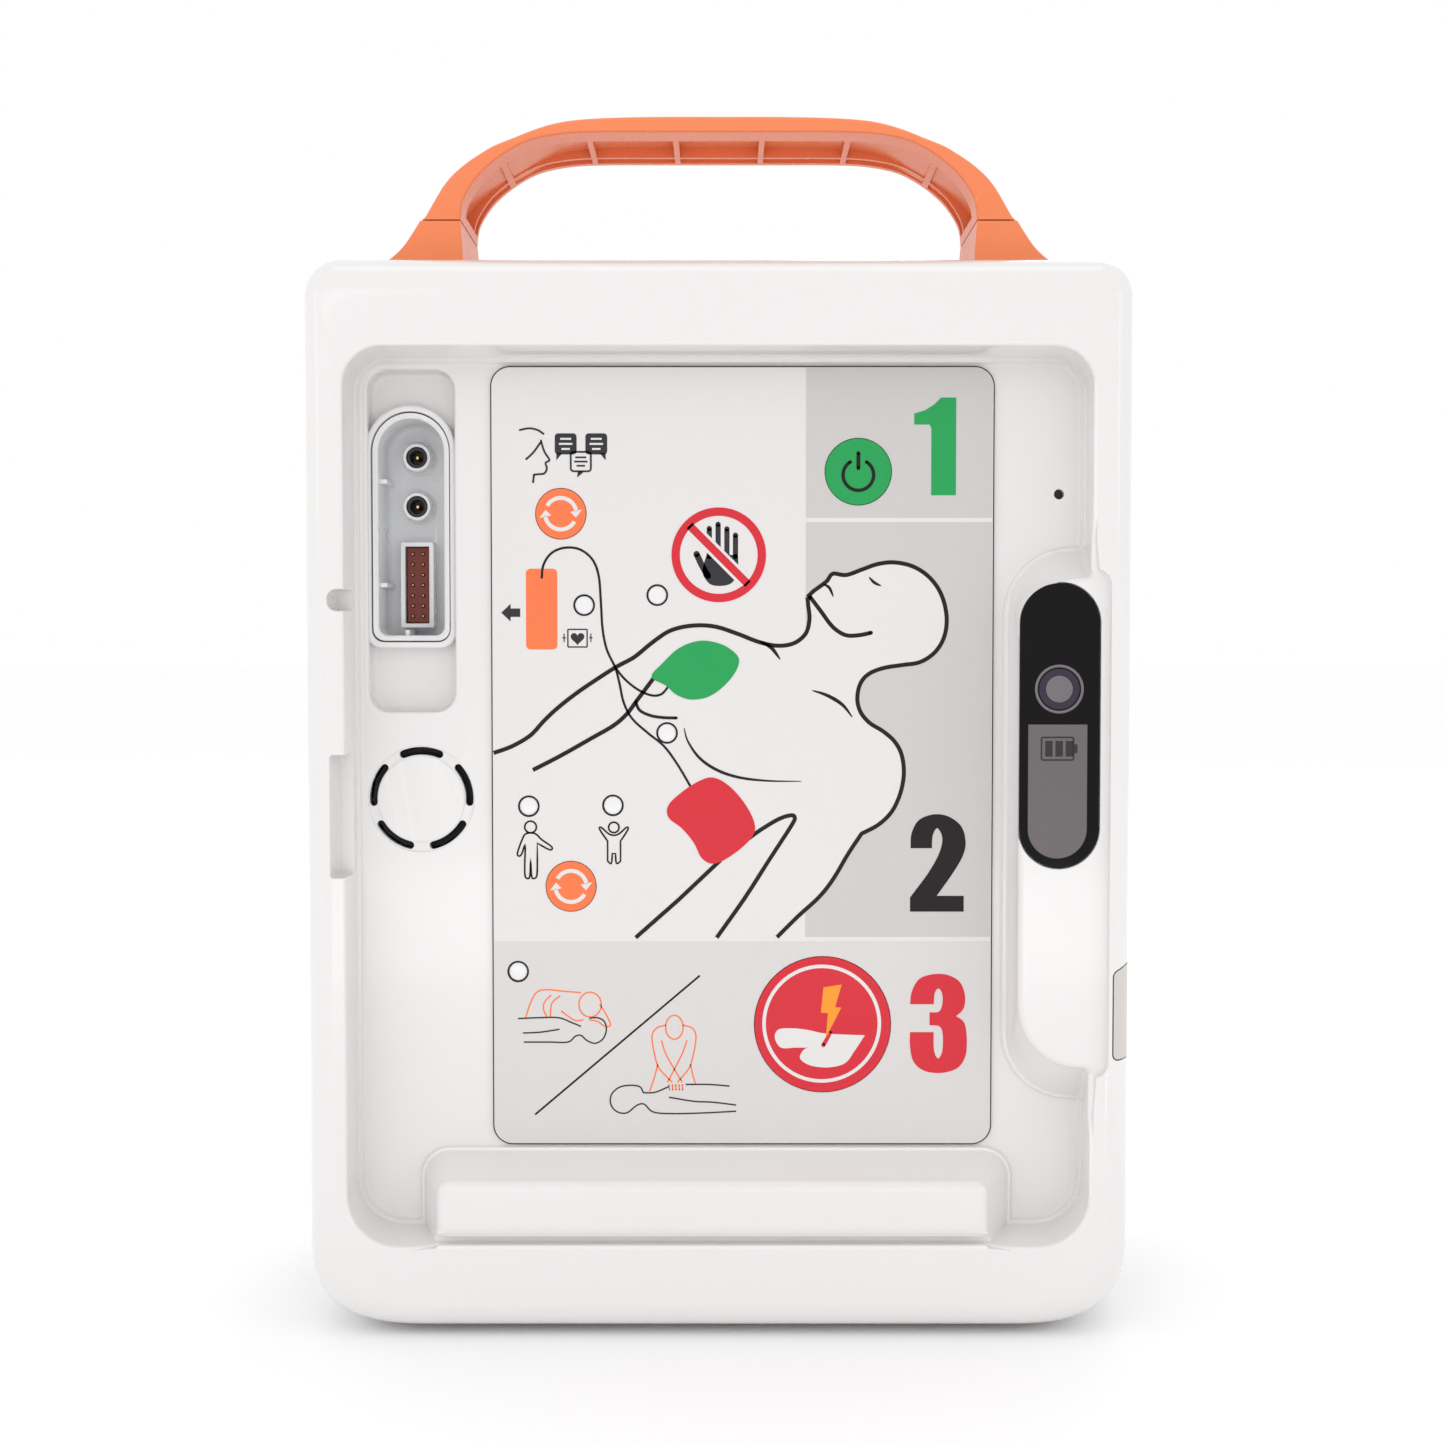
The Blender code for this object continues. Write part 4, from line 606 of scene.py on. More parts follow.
def make_handle():
    outer = [(72, GRIP_FOOT, 1), (66.6, 275.6), (62.5, 280.1), (58.3, 283.4), (54.2, 286), (46, 289.6),
            (38, 291.8), (28, 292.7), (14, 293), (0, 293)]
    inner = [(62.6, GRIP_FOOT, 1), (61.9, 271.2), (59.2, 275.9), (55.8, 279.5), (51, 283), (45.5, 285.6),
            (37.6, 287.1), (28, 287.5), (14, 287.5), (0, 287.5)]
    top, under = smooth(outer), smooth(inner)
    top = [(-x, z) for x, z in top] + [(x, z) for x, z in reversed(top[:-1])]
    under += [(-x, z) for x, z in reversed(under[:-1])]
    outline = np.array(top + under)
    is_top = np.arange(len(outline)) < len(top)
    (low, high), soft = GRIP_Y, 1.0
    levels = [low + soft * (1 - cos(t)) for t in quarter(5)]
    levels += [low + soft + (high - low - 2 * soft) * i / 12 for i in range(1, 12)]
    levels += [high - soft * (1 - cos(t)) for t in quarter(5)[::-1]]
    rings = []
    for y in levels:
        across = abs(y - (low + high) / 2) / ((high - low) / 2)
        end = min(y - low, high - y)
        edge = quarter_inset(soft, max(end, 0))
        crown = 1.9 * across ** 2 * np.clip((72 - np.abs(outline[:, 0])) / 22, 0.2, 1)
        fixed = np.abs(outline[:, 1] - GRIP_FOOT) < 0.01
        inset = np.where(is_top, edge + crown * (~fixed), edge * 0.4)
        moved = offset(outline, -inset)
        moved[fixed, 1] = GRIP_FOOT
        rings.append(at_depth(moved, y))
    grip = loft("grip", rings, strip=True)
    ribs = [21.2 * (i + 0.5) for i in range(-3, 3)]
    skin = [(x - copysign(2.6, x) * min(1, max(0, (abs(x) - 40) / 14)), z - 3) for x, z in top]
    below = [(x, z - 3) for x, z in reversed(under)]
    for span in ((-14, 3.4), (4.8, 9.6)):
        cells = slab("cells", skin + below[::-1], span, 0)
        walls = [box("rib", (x - 0.7, x + 0.7), (span[0] - 1, span[1] + 1), (240, 300)) for x in ribs]
        cut(cells, joined("ribs", walls))
        cut(cells, box("stop", (-90, 90), (span[0] - 1, span[1] + 1), (240, 268.8)))
        cut(grip, cells)
    piece(grip, "handle_orange", "case", ["handle_grip"])
    foot = smooth([(62.6, 266.2, 1), (72.3, 266.2, 1), (74.2, 263.2), (76.2, 260.3), (78.1, 258.3),
            (80.3, 256.6), (83.6, 255.2), (83.6, 254.2, 1), (61.9, 254.2, 1), (62.1, 259)], closed=True)
    for side, sign in (("left", -1), ("right", 1)):
        outline = [(sign * x, z) for x, z in (foot if sign > 0 else foot[::-1])]
        made = slab(f"handle_foot_{side}_cover", outline, (low, high))
        rounded_edges(made, 0.9, 4, 50)
        piece(made, "handle_orange", "case", [f"handle_foot_{side}"])


# ---- printed graphics

def ribbon(points, width, closed=False, taper=False):
    """The closed outline of a stroke. taper narrows it towards both ends."""
    path = np.array(points, float)
    ahead = np.roll(path, -1, axis=0) - path
    behind = path - np.roll(path, 1, axis=0)
    if not closed:
        ahead[-1], behind[0] = behind[-1], ahead[0]
    along = ahead / np.maximum(np.linalg.norm(ahead, axis=1, keepdims=True), 1e-9)
    along = along + behind / np.maximum(np.linalg.norm(behind, axis=1, keepdims=True), 1e-9)
    along /= np.maximum(np.linalg.norm(along, axis=1, keepdims=True), 1e-9)
    side = np.stack([-along[:, 1], along[:, 0]], axis=1)
    half = np.full(len(path), width / 2)
    if taper:
        half *= 0.25 + 0.75 * np.sin(np.linspace(0, pi, len(path)))
    return path + side * half[:, None], path - side * half[:, None]


class Ink:
    """Thin printed shapes of one colour, made as one piece."""

    def __init__(self, name, look, level, body="case", base=FILM):
        self.name, self.look, self.body = name, look, body
        self.face, self.back = base - 0.02 * level, base + 0.05
        self.bm = bmesh.new()

    def fill(self, outline):
        add_loft(self.bm, [at_depth(outline, self.face), at_depth(outline, self.back)])

    def stroke(self, points, width, closed=False, taper=False):
        left, right = ribbon(points, width, closed, taper)
        corners = (left, self.face), (right, self.face), (right, self.back), (left, self.back)
        rings = [[self.bm.verts.new(Vector(p) * MM) for p in at_depth(side, y)] for side, y in corners]
        count = len(points)
        for i in range(count if closed else count - 1):
            j = (i + 1) % count
            for a, b in ((0, 1), (1, 2), (2, 3), (3, 0)):
                self.bm.faces.new((rings[a][i], rings[b][i], rings[b][j], rings[a][j]))
        if not closed:
            for i in (0, count - 1):
                self.bm.faces.new([ring[i] for ring in rings])

    def round_stroke(self, points, width):
        """A stroke with round ends."""
        self.stroke(points, width)
        for end in (points[0], points[-1]):
            self.fill(circle(end, width / 2, 16))

    def curve(self, points, width, taper=False):
        self.stroke(smooth(points), width, taper=taper)

    def round_curve(self, points, width):
        self.round_stroke(smooth(points), width)

    def shape(self, points):
        self.fill(smooth(points, closed=True))

    def ring(self, centre, radius, width):
        self.stroke(circle(centre, radius, 64), width, closed=True)

    def done(self, holes=None):
        made = from_bmesh(self.name, self.bm)
        if holes:
            cut(made, holes)
        return piece(made, self.look, self.body)


def film_holes():
    """Cutters for the keys and the lenses, through the film and its printing."""
    holes = [round_bar("hole", (x, z), r + 0.35, (FILM - 1, PANEL), steps=64) for x, z, r in KEYS.values()]
    holes += [round_bar("hole", place, 2.4, (FILM - 1, PANEL), steps=40) for place in LENSES]
    return joined("film_holes", holes)


def make_film():
    outline = rectangle((-54.5, 65.8), (42.9, 229.9), 4.8, 10)
    film = slab("instruction_film", outline, (FILM, PANEL - 0.3), 0.1, 2)
    cut(film, film_holes())
    piece(film, "film_white", "case", ["panel_overlay"])
    # Painted shadow: a thin black line all round the film's edge stands in for the shade in the gap at its rim
    edge_shadow = Ink("film_painted_edge_shadow", "ink_black", 2)
    edge_shadow.stroke(offset(outline, -0.17), 0.26, closed=True)
    edge_shadow.done()


# The lying patient's head and back, used for both the white fill and the line
HEAD_AND_BACK = [(21.2, 174.9), (22.6, 176.3), (24.4, 177.6), (25.9, 178.8), (27.3, 180.5), (30.5, 180.2),
        (34.5, 181.6), (38, 182.8), (42, 183.2), (46.5, 182.2), (50.4, 179.6), (53.2, 175.6), (54.5, 170.4),
        (54, 165.6), (51.8, 161.8), (48.2, 159.4), (44, 158.7), (39.6, 158), (36, 156.6), (33.9, 154.2),
        (33.2, 150.6), (34, 147.4), (36.2, 144.8), (39.4, 142.8), (42.2, 140.3), (43.9, 137), (44.4, 132.6),
        (43.6, 128), (41.6, 123.6), (38.4, 120.4), (34.3, 118.2, 1), (31, 113.2), (27.6, 107.4), (24.2, 103),
        (19, 98.2), (14, 93.2)]


def make_zones():
    grey = Ink("zone_grey", "ink_grey", 1)
    right = 65.35
    top = [(20.8, 193.8)] + [(20.8, 229.5)] + arc((right - 4.4, 229.5 - 4.4), (4.4, 4.4), pi / 2, 0, 8)
    grey.fill(top + [(right, 193.8)])
    grey.fill([(20.8, 93.3), (20.8, 192.8), (right, 192.8), (right, 93.3)])
    grey.done(film_holes())
    pale = Ink("zone_pale", "ink_pale", 1)
    low, left = 43.3, -54.1
    pale.fill([(left, 92.2), (right, 92.2)] + arc((right - 4.4, low + 4.4), (4.4, 4.4), 0, -pi / 2, 8)
            + arc((left + 4.4, low + 4.4), (4.4, 4.4), -pi / 2, -pi, 8))
    pale.done(film_holes())
    white = Ink("zone_white", "ink_white", 2)
    white.fill(smooth(HEAD_AND_BACK) + [(14, 93.2), (10, 93.2), (10, 163.9), (13, 163.3), (17, 163.6),
            (20, 165.4), (21.6, 168.4), (21.6, 172)])
    for height in (193.3, 92.75):
        white.fill([(20.8, height + 0.5), (right + 0.1, height + 0.5), (right + 0.1, height - 0.5),
                (20.8, height - 0.5)])
    white.fill(circle(NO_TOUCH, 10.2, 64))
    white.fill(rectangle((-36.1, -31.5), (163, 167.2), 0.2, 2))
    white.done()


def make_line_art():
    """The lying patient, drawn in plain strokes."""
    black = Ink("art_black", "ink_black", 3)
    heavy, medium, light = 1, 0.72, 0.56
    black.curve([(-54, 137.6), (-49.6, 139.2), (-45.2, 141.8), (-42, 145.2), (-38.6, 148.4), (-34, 152),
            (-29, 155.4), (-24.6, 158.2), (-20.2, 160.6), (-16, 164), (-11.6, 166.9), (-6.4, 168.1),
            (-1, 167.9), (4.4, 166.2), (9.6, 164.2), (14, 163.3), (18, 163.9), (20.8, 166.2), (21.7, 169.6),
            (21.4, 173), (21.2, 174.9)], heavy)
    black.curve(HEAD_AND_BACK, heavy)
    black.round_curve([(21.9, 174.9), (24.4, 171.6), (27.2, 167.9), (30.2, 165.9), (33.4, 165.8),
            (36.4, 166.4)], heavy)
    black.curve([(24.9, 178), (26.4, 177.2), (27.4, 175)], medium, taper=True)
    black.curve([(35.9, 179.7), (37.2, 178.4), (38.8, 177.6)], medium, taper=True)
    black.curve([(9.8, 164.4), (12.6, 162.8), (14.7, 160)], 0.9, taper=True)
    black.curve([(22.4, 152.6), (26, 151.4), (29.6, 149.2), (32, 146.2)], 0.9, taper=True)
    black.curve([(-44.6, 133.5), (-38, 136.9), (-30.4, 141.2), (-25.2, 144.2), (-22, 147), (-19.6, 150.2),
            (-15.4, 155.8)], heavy)
    black.round_curve([(-19.9, 150), (-19, 147.9), (-16.4, 146.6), (-13.4, 146.1), (-10.2, 146)], medium)
    black.curve([(-8.3, 143.6), (-7.4, 140.4), (-4.6, 136.4), (-0.4, 133.5), (5, 131.7), (12, 130.9),
            (19.8, 130.8)], medium, taper=True)
    black.stroke([(-20, 93.1), (-9.6, 102.3), (0.4, 111.8)], heavy)
    black.curve([(6.6, 116.6), (10.2, 119.2), (14.4, 121.7), (17.2, 122.6), (18.2, 122.2), (17.6, 120.4),
            (12.2, 112), (6.2, 102.6), (-0.5, 93.1)], heavy)
    black.round_curve([(-42.3, 179.6), (-41.9, 182.6), (-40, 185.4), (-36.8, 186.7), (-33.2, 186.3),
            (-30.2, 183.9), (-28.7, 180), (-28.2, 174), (-27.8, 167.4), (-26.8, 162.4), (-24.8, 158.1),
            (-23.8, 154.4), (-22.8, 149.8), (-20.8, 145.9), (-17, 142.4), (-13.2, 139.3), (-10, 135),
            (-6.8, 129.6)], light)
    black.round_curve([(-24.8, 158.1), (-22.4, 155.2), (-19.2, 152.7), (-16, 151.4), (-13.6, 151.8),
            (-11.8, 154)], light)
    black.round_stroke([(-44.2, 50.3), (-4.7, 83.8)], 0.46)
    for place in LENSES:
        black.ring(place, 2.42, 0.36)
    make_small_figures(black)
    black.done()


def make_small_figures(black):
    """An adult and a child, both as plain signs."""
    thin = 0.42
    black.ring((-45.2, 119.8), 1.4, thin)
    black.stroke(smooth([(-46.3, 118.2), (-47.3, 116.6), (-48.4, 113.4), (-47.9, 112.8), (-47.3, 113.4),
            (-46.5, 115.6), (-46.6, 112, 1), (-46.6, 108.2), (-46, 107.4), (-45.4, 108), (-45.2, 112.2, 1),
            (-45, 108), (-44.4, 107.4), (-43.7, 108.2), (-43.6, 112, 1), (-43.6, 115.9, 1), (-40.6, 114.3),
            (-40.1, 115), (-42.6, 116.8), (-44.1, 118.2)], closed=True, steps=3), thin, closed=True)
    black.ring((-25.2, 119.7), 1.25, thin)
    black.stroke(smooth([(-26.2, 118), (-28.2, 119.7), (-28.6, 119.2), (-26.7, 116.4, 1), (-26.7, 111.6, 1),
            (-25.8, 111), (-25.6, 113.4, 1), (-24.8, 113.4, 1), (-24.6, 111), (-23.6, 111.6, 1),
            (-23.6, 116.4, 1), (-21.8, 119.2), (-22.2, 119.7), (-24.2, 118)], closed=True, steps=3), thin,
            closed=True)


def make_marks():
    """Signs in dark grey: hand, arrow, speech bubbles, heart mark and the patients of the two small scenes."""
    dark = Ink("marks_charcoal", "ink_charcoal", 3)
    for x, top in ((-2.25, 191.3), (-0.15, 192.3), (1.95, 191.2), (4, 189.7)):
        dark.round_stroke([(x, 184.6), (x, top)], 1.25)
    dark.round_stroke([(-5.3, 185.2), (-4.1, 182.6), (-2.6, 180)], 1.5)
    dark.shape([(-2.9, 185, 1), (4.6, 185, 1), (4.6, 181.6), (3.6, 178.8), (1.6, 177.7), (-1.6, 177.8),
            (-3.3, 179.4), (-3.9, 181.4)])
    dark.fill([(-52, 171.2), (-49.8, 173.3), (-49.8, 172.2), (-47.5, 172.2), (-47.5, 170.2), (-49.8, 170.2),
            (-49.8, 169.1)])
    for x, tail in ((-36.5, -1.5), (-29.2, 1.5)):
        dark.fill(rectangle((x - 2.6, x + 2.6), (208.9, 213.9), 0.8, 5))
        dark.fill([(x + tail - 0.7, 209.2), (x + tail + 0.7, 209.2), (x + tail * 1.5, 207.5)])
    dark.stroke(rectangle((-35.3, -30.5), (204.9, 209.5), 0.7, 5), 0.45, closed=True)
    dark.fill([(-33.6, 204.9), (-32, 204.9), (-33.8, 203.4)])
    for row, width in ((208.2, 2.6), (207.2, 3.2), (206.2, 2)):
        dark.stroke([(-32.9 - width / 2, row), (-32.9 + width / 2, row)], 0.42)
    dark.round_curve([(-47.4, 214.7), (-45.2, 215.1), (-43.2, 214.7), (-41.8, 213.8)], 0.48)
    dark.round_curve([(-42.4, 212.2), (-41.6, 209.6), (-40.4, 207.6), (-41.3, 206.9), (-41, 205.6),
            (-41.6, 204.4), (-43, 204.2), (-44, 204.1)], 0.48)
    dark.round_curve([(-45.9, 207.8), (-44.2, 209.4), (-42.6, 211.6)], 0.48)
    dark.round_stroke([(-44.1, 204), (-44.3, 202.3)], 0.48)
    dark.stroke(rectangle((-36.1, -31.5), (163, 167.2), 0.15, 2), 0.34, closed=True)
    heart = [(1.65 * sin(t) ** 3, 1.35 * (13 * cos(t) - 5 * cos(2 * t) - 2 * cos(3 * t) - cos(4 * t)) / 13)
            for t in (2 * pi * i / 40 for i in range(40))]
    dark.fill([(-33.8 + x, 165.1 + z) for x, z in heart])
    for x in (-37, -30.6):
        dark.stroke([(x, 164.2), (x, 166.2)], 0.26)
        dark.stroke([(x - 0.4, 165.2), (x + 0.4, 165.2)], 0.26)
    line = 0.36
    for path in ([(-48.4, 73.5), (-43.6, 73.7), (-38.6, 73.7), (-35.4, 72.5), (-33.2, 71.6)],
            [(-47.2, 70), (-43, 70.2), (-38.4, 70.9)], [(-47, 67.8), (-41, 67.8), (-36.4, 67.8),
            (-34.6, 69.2), (-33.2, 69.4), (-31.8, 68.2), (-29.8, 67.5), (-27.9, 68.6), (-27.1, 70.8),
            (-27.6, 72.8), (-29.2, 73.7), (-31.2, 73.6)], [(-18.2, 55.5), (-19, 56.9), (-21, 57.3),
            (-23.8, 56.9), (-25.8, 55.2), (-26.1, 52.8), (-24.6, 50.9), (-22.2, 50.6), (-19.8, 52.4),
            (-18, 52.7), (-15.8, 50.8), (-11, 50.4), (-3, 50.6), (4.2, 51)], [(-18.2, 55.5), (-15.4, 55.6),
            (-12, 57)], [(-8, 57.5), (-2.4, 57.5), (2.6, 57.1)], [(-12, 54.4), (-6, 53.4), (-1.6, 53.2),
            (4.2, 52.5)]):
        dark.curve(path, line)
    dark.done()
    notes = Ink("marks_white", "ink_white", 4)
    for x in (-36.5, -29.2):
        for row, width in ((212.6, 2.6), (211.4, 3.2), (210.2, 2)):
            notes.stroke([(x - width / 2, row), (x + width / 2, row)], 0.45)
    notes.stroke([(-7.6, 192.6), (7.6, 177.4)], 3.2)
    notes.done()


def make_coloured_marks():
    orange = Ink("marks_orange", "ink_orange", 2)
    orange.fill(rectangle((-46.1, -38.6), (162.4, 181.7), 1.1, 6))
    thin = 0.36
    for path in ([(-46.5, 73.8), (-45.4, 77.2), (-43.8, 79.9), (-41.4, 80.5), (-37, 80.1), (-33.2, 79.8)],
            [(-40.4, 79.2), (-42, 77.4), (-42.2, 75.6), (-41.4, 74)], [(-38.2, 79), (-40.2, 77.2),
            (-40.6, 74)], [(-38, 75.4), (-36.2, 74), (-34.4, 73), (-32.6, 73.2)], [(-28.7, 77), (-27.2, 74.6),
            (-26.1, 72), (-27.4, 71.6), (-29.2, 72.8), (-31.2, 73.2)], [(-12.7, 71.9), (-15, 71.2),
            (-16.1, 69.2), (-15.6, 65.4), (-14.6, 61.8), (-12.8, 59.6), (-11.2, 58)],
            [(-8.7, 71.9), (-6.4, 71.2), (-5.5, 69.2), (-6, 65.4), (-7, 61.8), (-8.6, 59.6), (-10, 58)],
            [(-13.8, 68.2), (-12.8, 65), (-10.6, 61), (-8.8, 58)], [(-7.7, 68.2), (-8.8, 65), (-10.8, 61),
            (-12.4, 58)], [(-14.7, 62.4), (-15.6, 59), (-16.7, 55.7)], [(-6.8, 62.4), (-6.2, 59.6),
            (-5.6, 57.7)]):
        orange.curve(path, thin)
    orange.stroke(arc((-31, 76.9), (2.7, 3), 0, 2 * pi * 39 / 40, 39), thin, closed=True)
    orange.stroke(arc((-10.7, 71.4), (2.1, 2.9), 0, 2 * pi * 39 / 40, 39), thin, closed=True)
    for x in (-12, -11.2, -10.4, -9.6, -8.8):
        orange.round_stroke([(x, 57.4), (x + 0.1, 56.2)], thin)
    orange.done()
    green = Ink("marks_green", "ink_green", 4)
    green.shape([(-16.1, 155.9), (-13.4, 159.2), (-9.4, 162.8), (-4.4, 164.5), (0.8, 163.6), (4.5, 160.9),
            (4.5, 158), (1.8, 154.2), (-2.2, 151.2), (-6.6, 150.4), (-10.2, 151.6), (-12.6, 153.7)])
    green.fill([(46.6, 218.6), (49.2, 219.4), (51.4, 220.8), (53, 222.4), (56.6, 222.4), (56.6, 199.2),
            (50.7, 199.2), (50.7, 215.2), (50.2, 216), (46.6, 216)])
    green.done()
    red = Ink("marks_red", "ink_red", 5)
    red.shape([(-1.4, 131.7), (2.6, 129.6), (6.4, 125.2), (8.6, 120.6), (8, 117.4), (4, 113.6), (-0.8, 111),
            (-4, 112.2), (-6, 116), (-8.8, 119.4), (-12, 122), (-12.2, 124.8), (-9.6, 127.6), (-5.2, 130.6)])
    red.ring(NO_TOUCH, 10.3, 2)
    red.stroke([(-7, 192), (7, 178)], 1.9)
    red.shape([(46.1, 77, 1), (46.5, 80), (48.2, 83), (51.4, 84.2), (55, 84.1), (58, 82.4), (59.3, 79.2),
            (59, 76), (57.2, 74.1, 1), (59.2, 72.4), (59.8, 68.4), (59.4, 64.2), (57.4, 61.4), (53.4, 60.3),
            (49.4, 60.9), (46.9, 63.2), (46.1, 67), (46.1, 70.2, 1), (51.8, 70.2, 1), (51.9, 65.8),
            (52.9, 63.8), (53.9, 65.6), (54, 69.6), (53.2, 71.6), (50.8, 71.9, 1), (50.8, 75, 1),
            (53.1, 75.2), (53.9, 77.2), (53.8, 79.6), (52.9, 80.8), (52, 79.6), (51.8, 77, 1)])
    red.done()
    two = Ink("mark_two", "ink_black", 4)
    two.shape([(46.1, 114.7, 1), (46.3, 118.2), (48, 121.4), (51.4, 122.8), (55, 122.4), (58.2, 120),
            (59.3, 116.2), (58.6, 112.8), (56.2, 108.6), (52.4, 103.2, 1), (58.9, 103.2, 1), (58.9, 99.4, 1),
            (46, 99.4, 1), (46, 102.8, 1), (50.4, 108.8), (53, 113.6), (53.7, 117.2), (52.5, 119.5),
            (51.4, 117.8), (51.2, 114.7, 1)])
    two.done()


# ---- keys and lights

def make_key(name, look):
    """The cap stands a little proud of the film. Its flange and stem are behind the panel."""
    x, z, radius = KEYS[name]
    face, under = FILM - 0.25, PANEL + WALL + 0.3
    rim = radius + 0.2
    profile = [(0, -29.8), (1.8, -29.8), (1.8, face + 2.6), (radius - 1, face + 2.6),
            (radius - 1, under + 0.8), (radius + 1.2, under + 0.8), (radius + 1.2, under), (radius, under),
            (radius, FILM + 0.6), (rim, FILM + 0.4)]
    profile += [(rim - 0.25 + 0.25 * cos(t), face + 0.25 - 0.25 * sin(t)) for t in quarter(4)]
    profile += [(radius - 0.75, face), (radius - 0.95, face + 0.07), (radius - 1.15, face + 0.07),
            (radius - 1.35, face), (0, face)]
    key = turned(f"{name}_key_cap", (x, z), profile, 72)
    piece(key, look, f"{name}_key", [f"{name}_key"])
    return face


def make_power_key():
    face = make_key("power", "ink_green")
    x, z = KEYS["power"][:2]
    icon = Ink("power_icon", "ink_black", 1, "power_key", face)
    icon.round_stroke(arc((x, z - 0.8), (3.65, 3.65), radians(58), radians(-238), 48), 0.85)
    icon.round_stroke([(x, z + 0.8), (x, z + 4.4)], 0.95)
    icon.done()


def make_cycle_key(name):
    face = make_key(name, "ink_orange")
    x, z = KEYS[name][:2]
    icon = Ink(f"{name}_icon", "ink_white", 1, f"{name}_key", face)
    for turn in (0, pi):
        start, end = turn + radians(150), turn + radians(10)
        icon.stroke(arc((x, z), (3.75, 3.75), start, end, 20), 0.95)
        points = (3.75, end - 0.42), (5.2, end + 0.02), (2.3, end + 0.02)
        icon.fill([(x + r * cos(a), z + r * sin(a)) for r, a in points])
    icon.done()


def make_shock_key():
    face = make_key("shock", "ink_red")
    x, z = KEYS["shock"][:2]
    icon = Ink("shock_icon", "ink_white", 1, "shock_key", face)
    icon.ring((x - 0.2, z + 0.2), 13.9, 0.85)
    icon.shape([(x - 11.5, z - 3.2), (x - 10.6, z - 1.2), (x - 7.4, z - 0.9), (x - 3.6, z - 1.3),
            (x + 1, z - 2.2), (x + 10.2, z - 2.6, 1), (x + 7.6, z - 6.6), (x + 5.4, z - 9.4),
            (x + 1.4, z - 10.4), (x - 3, z - 9.9), (x - 5.4, z - 8.2), (x - 4.6, z - 6.2),
            (x - 3.4, z - 5.6, 1), (x - 6.6, z - 5.6), (x - 10, z - 5.6)])
    icon.done()
    cleft = Ink("shock_icon_shade", "ink_red", 2, "shock_key", face)
    cleft.round_curve([(x + 2, z - 1.6), (x + 1, z - 3.6), (x + 0.2, z - 5)], 1)
    cleft.done()
    bolt = Ink("shock_bolt", "ink_amber", 3, "shock_key", face)
    bolt.fill([(x + 0.2, z + 9), (x + 4.6, z + 9.7), (x + 3, z + 4.2), (x + 4.5, z + 4.1), (x + 0.8, z - 3.2),
            (x + 1.3, z + 2.8), (x - 0.4, z + 2.9)])
    bolt.done()


def make_lenses():
    for number, place in enumerate(LENSES, 1):
        lens = turned(f"light_pipe_{number}", place, [(0, FILM - 0.06), (1.2, FILM - 0.05), (1.9, FILM),
                (2.15, FILM + 0.15), (2.1, -28.6), (0, -28.6)], 40)
        piece(lens, "lens", "case", [f"indicator_lens_{number}"])


# ---- status window

def make_window():
    outline = stadium((70.35, 89.05), (111.25, 177.95), steps=40)
    glass = slab("window_glass", outline, (FRONT + 1.9, FRONT + 3.2), 0.3, 4)
    piece(glass, "window_black", "case", ["status_window"])
    face = FRONT + 1.9
    centre = (79.6, 153.2)
    ring = Ink("window_ring", "display_ring", 1, base=face)
    ring.ring(centre, 5.4, 0.6)
    ring.fill(circle(centre, 3.15, 48))
    ring.done()
    violet = Ink("window_violet", "display_violet", 1, base=face)
    violet.ring(centre, 4, 1.45)
    violet.done()
    panel = Ink("window_panel", "display_grey", 1, base=face)
    low = arc((79.3, 120.4), (6.9, 6.9), 0, -pi, 24)
    panel.fill([(72.4, 144.9), (86.2, 144.9)] + low)
    panel.done()
    icon = Ink("window_battery", "display_ink", 2, base=face)
    icon.stroke(rectangle((75.5, 83), (136.6, 141.9), 0.4, 3), 0.4, closed=True)
    icon.fill([(83.2, 140.3), (83.9, 140.3), (83.9, 138.2), (83.2, 138.2)])
    for x in (76.5, 78.9, 81.3):
        icon.fill([(x - 0.15, 141.1), (x + 1.6, 141.1), (x + 1.6, 137.4), (x - 0.15, 137.4)])
    icon.done()


# ---- connector well

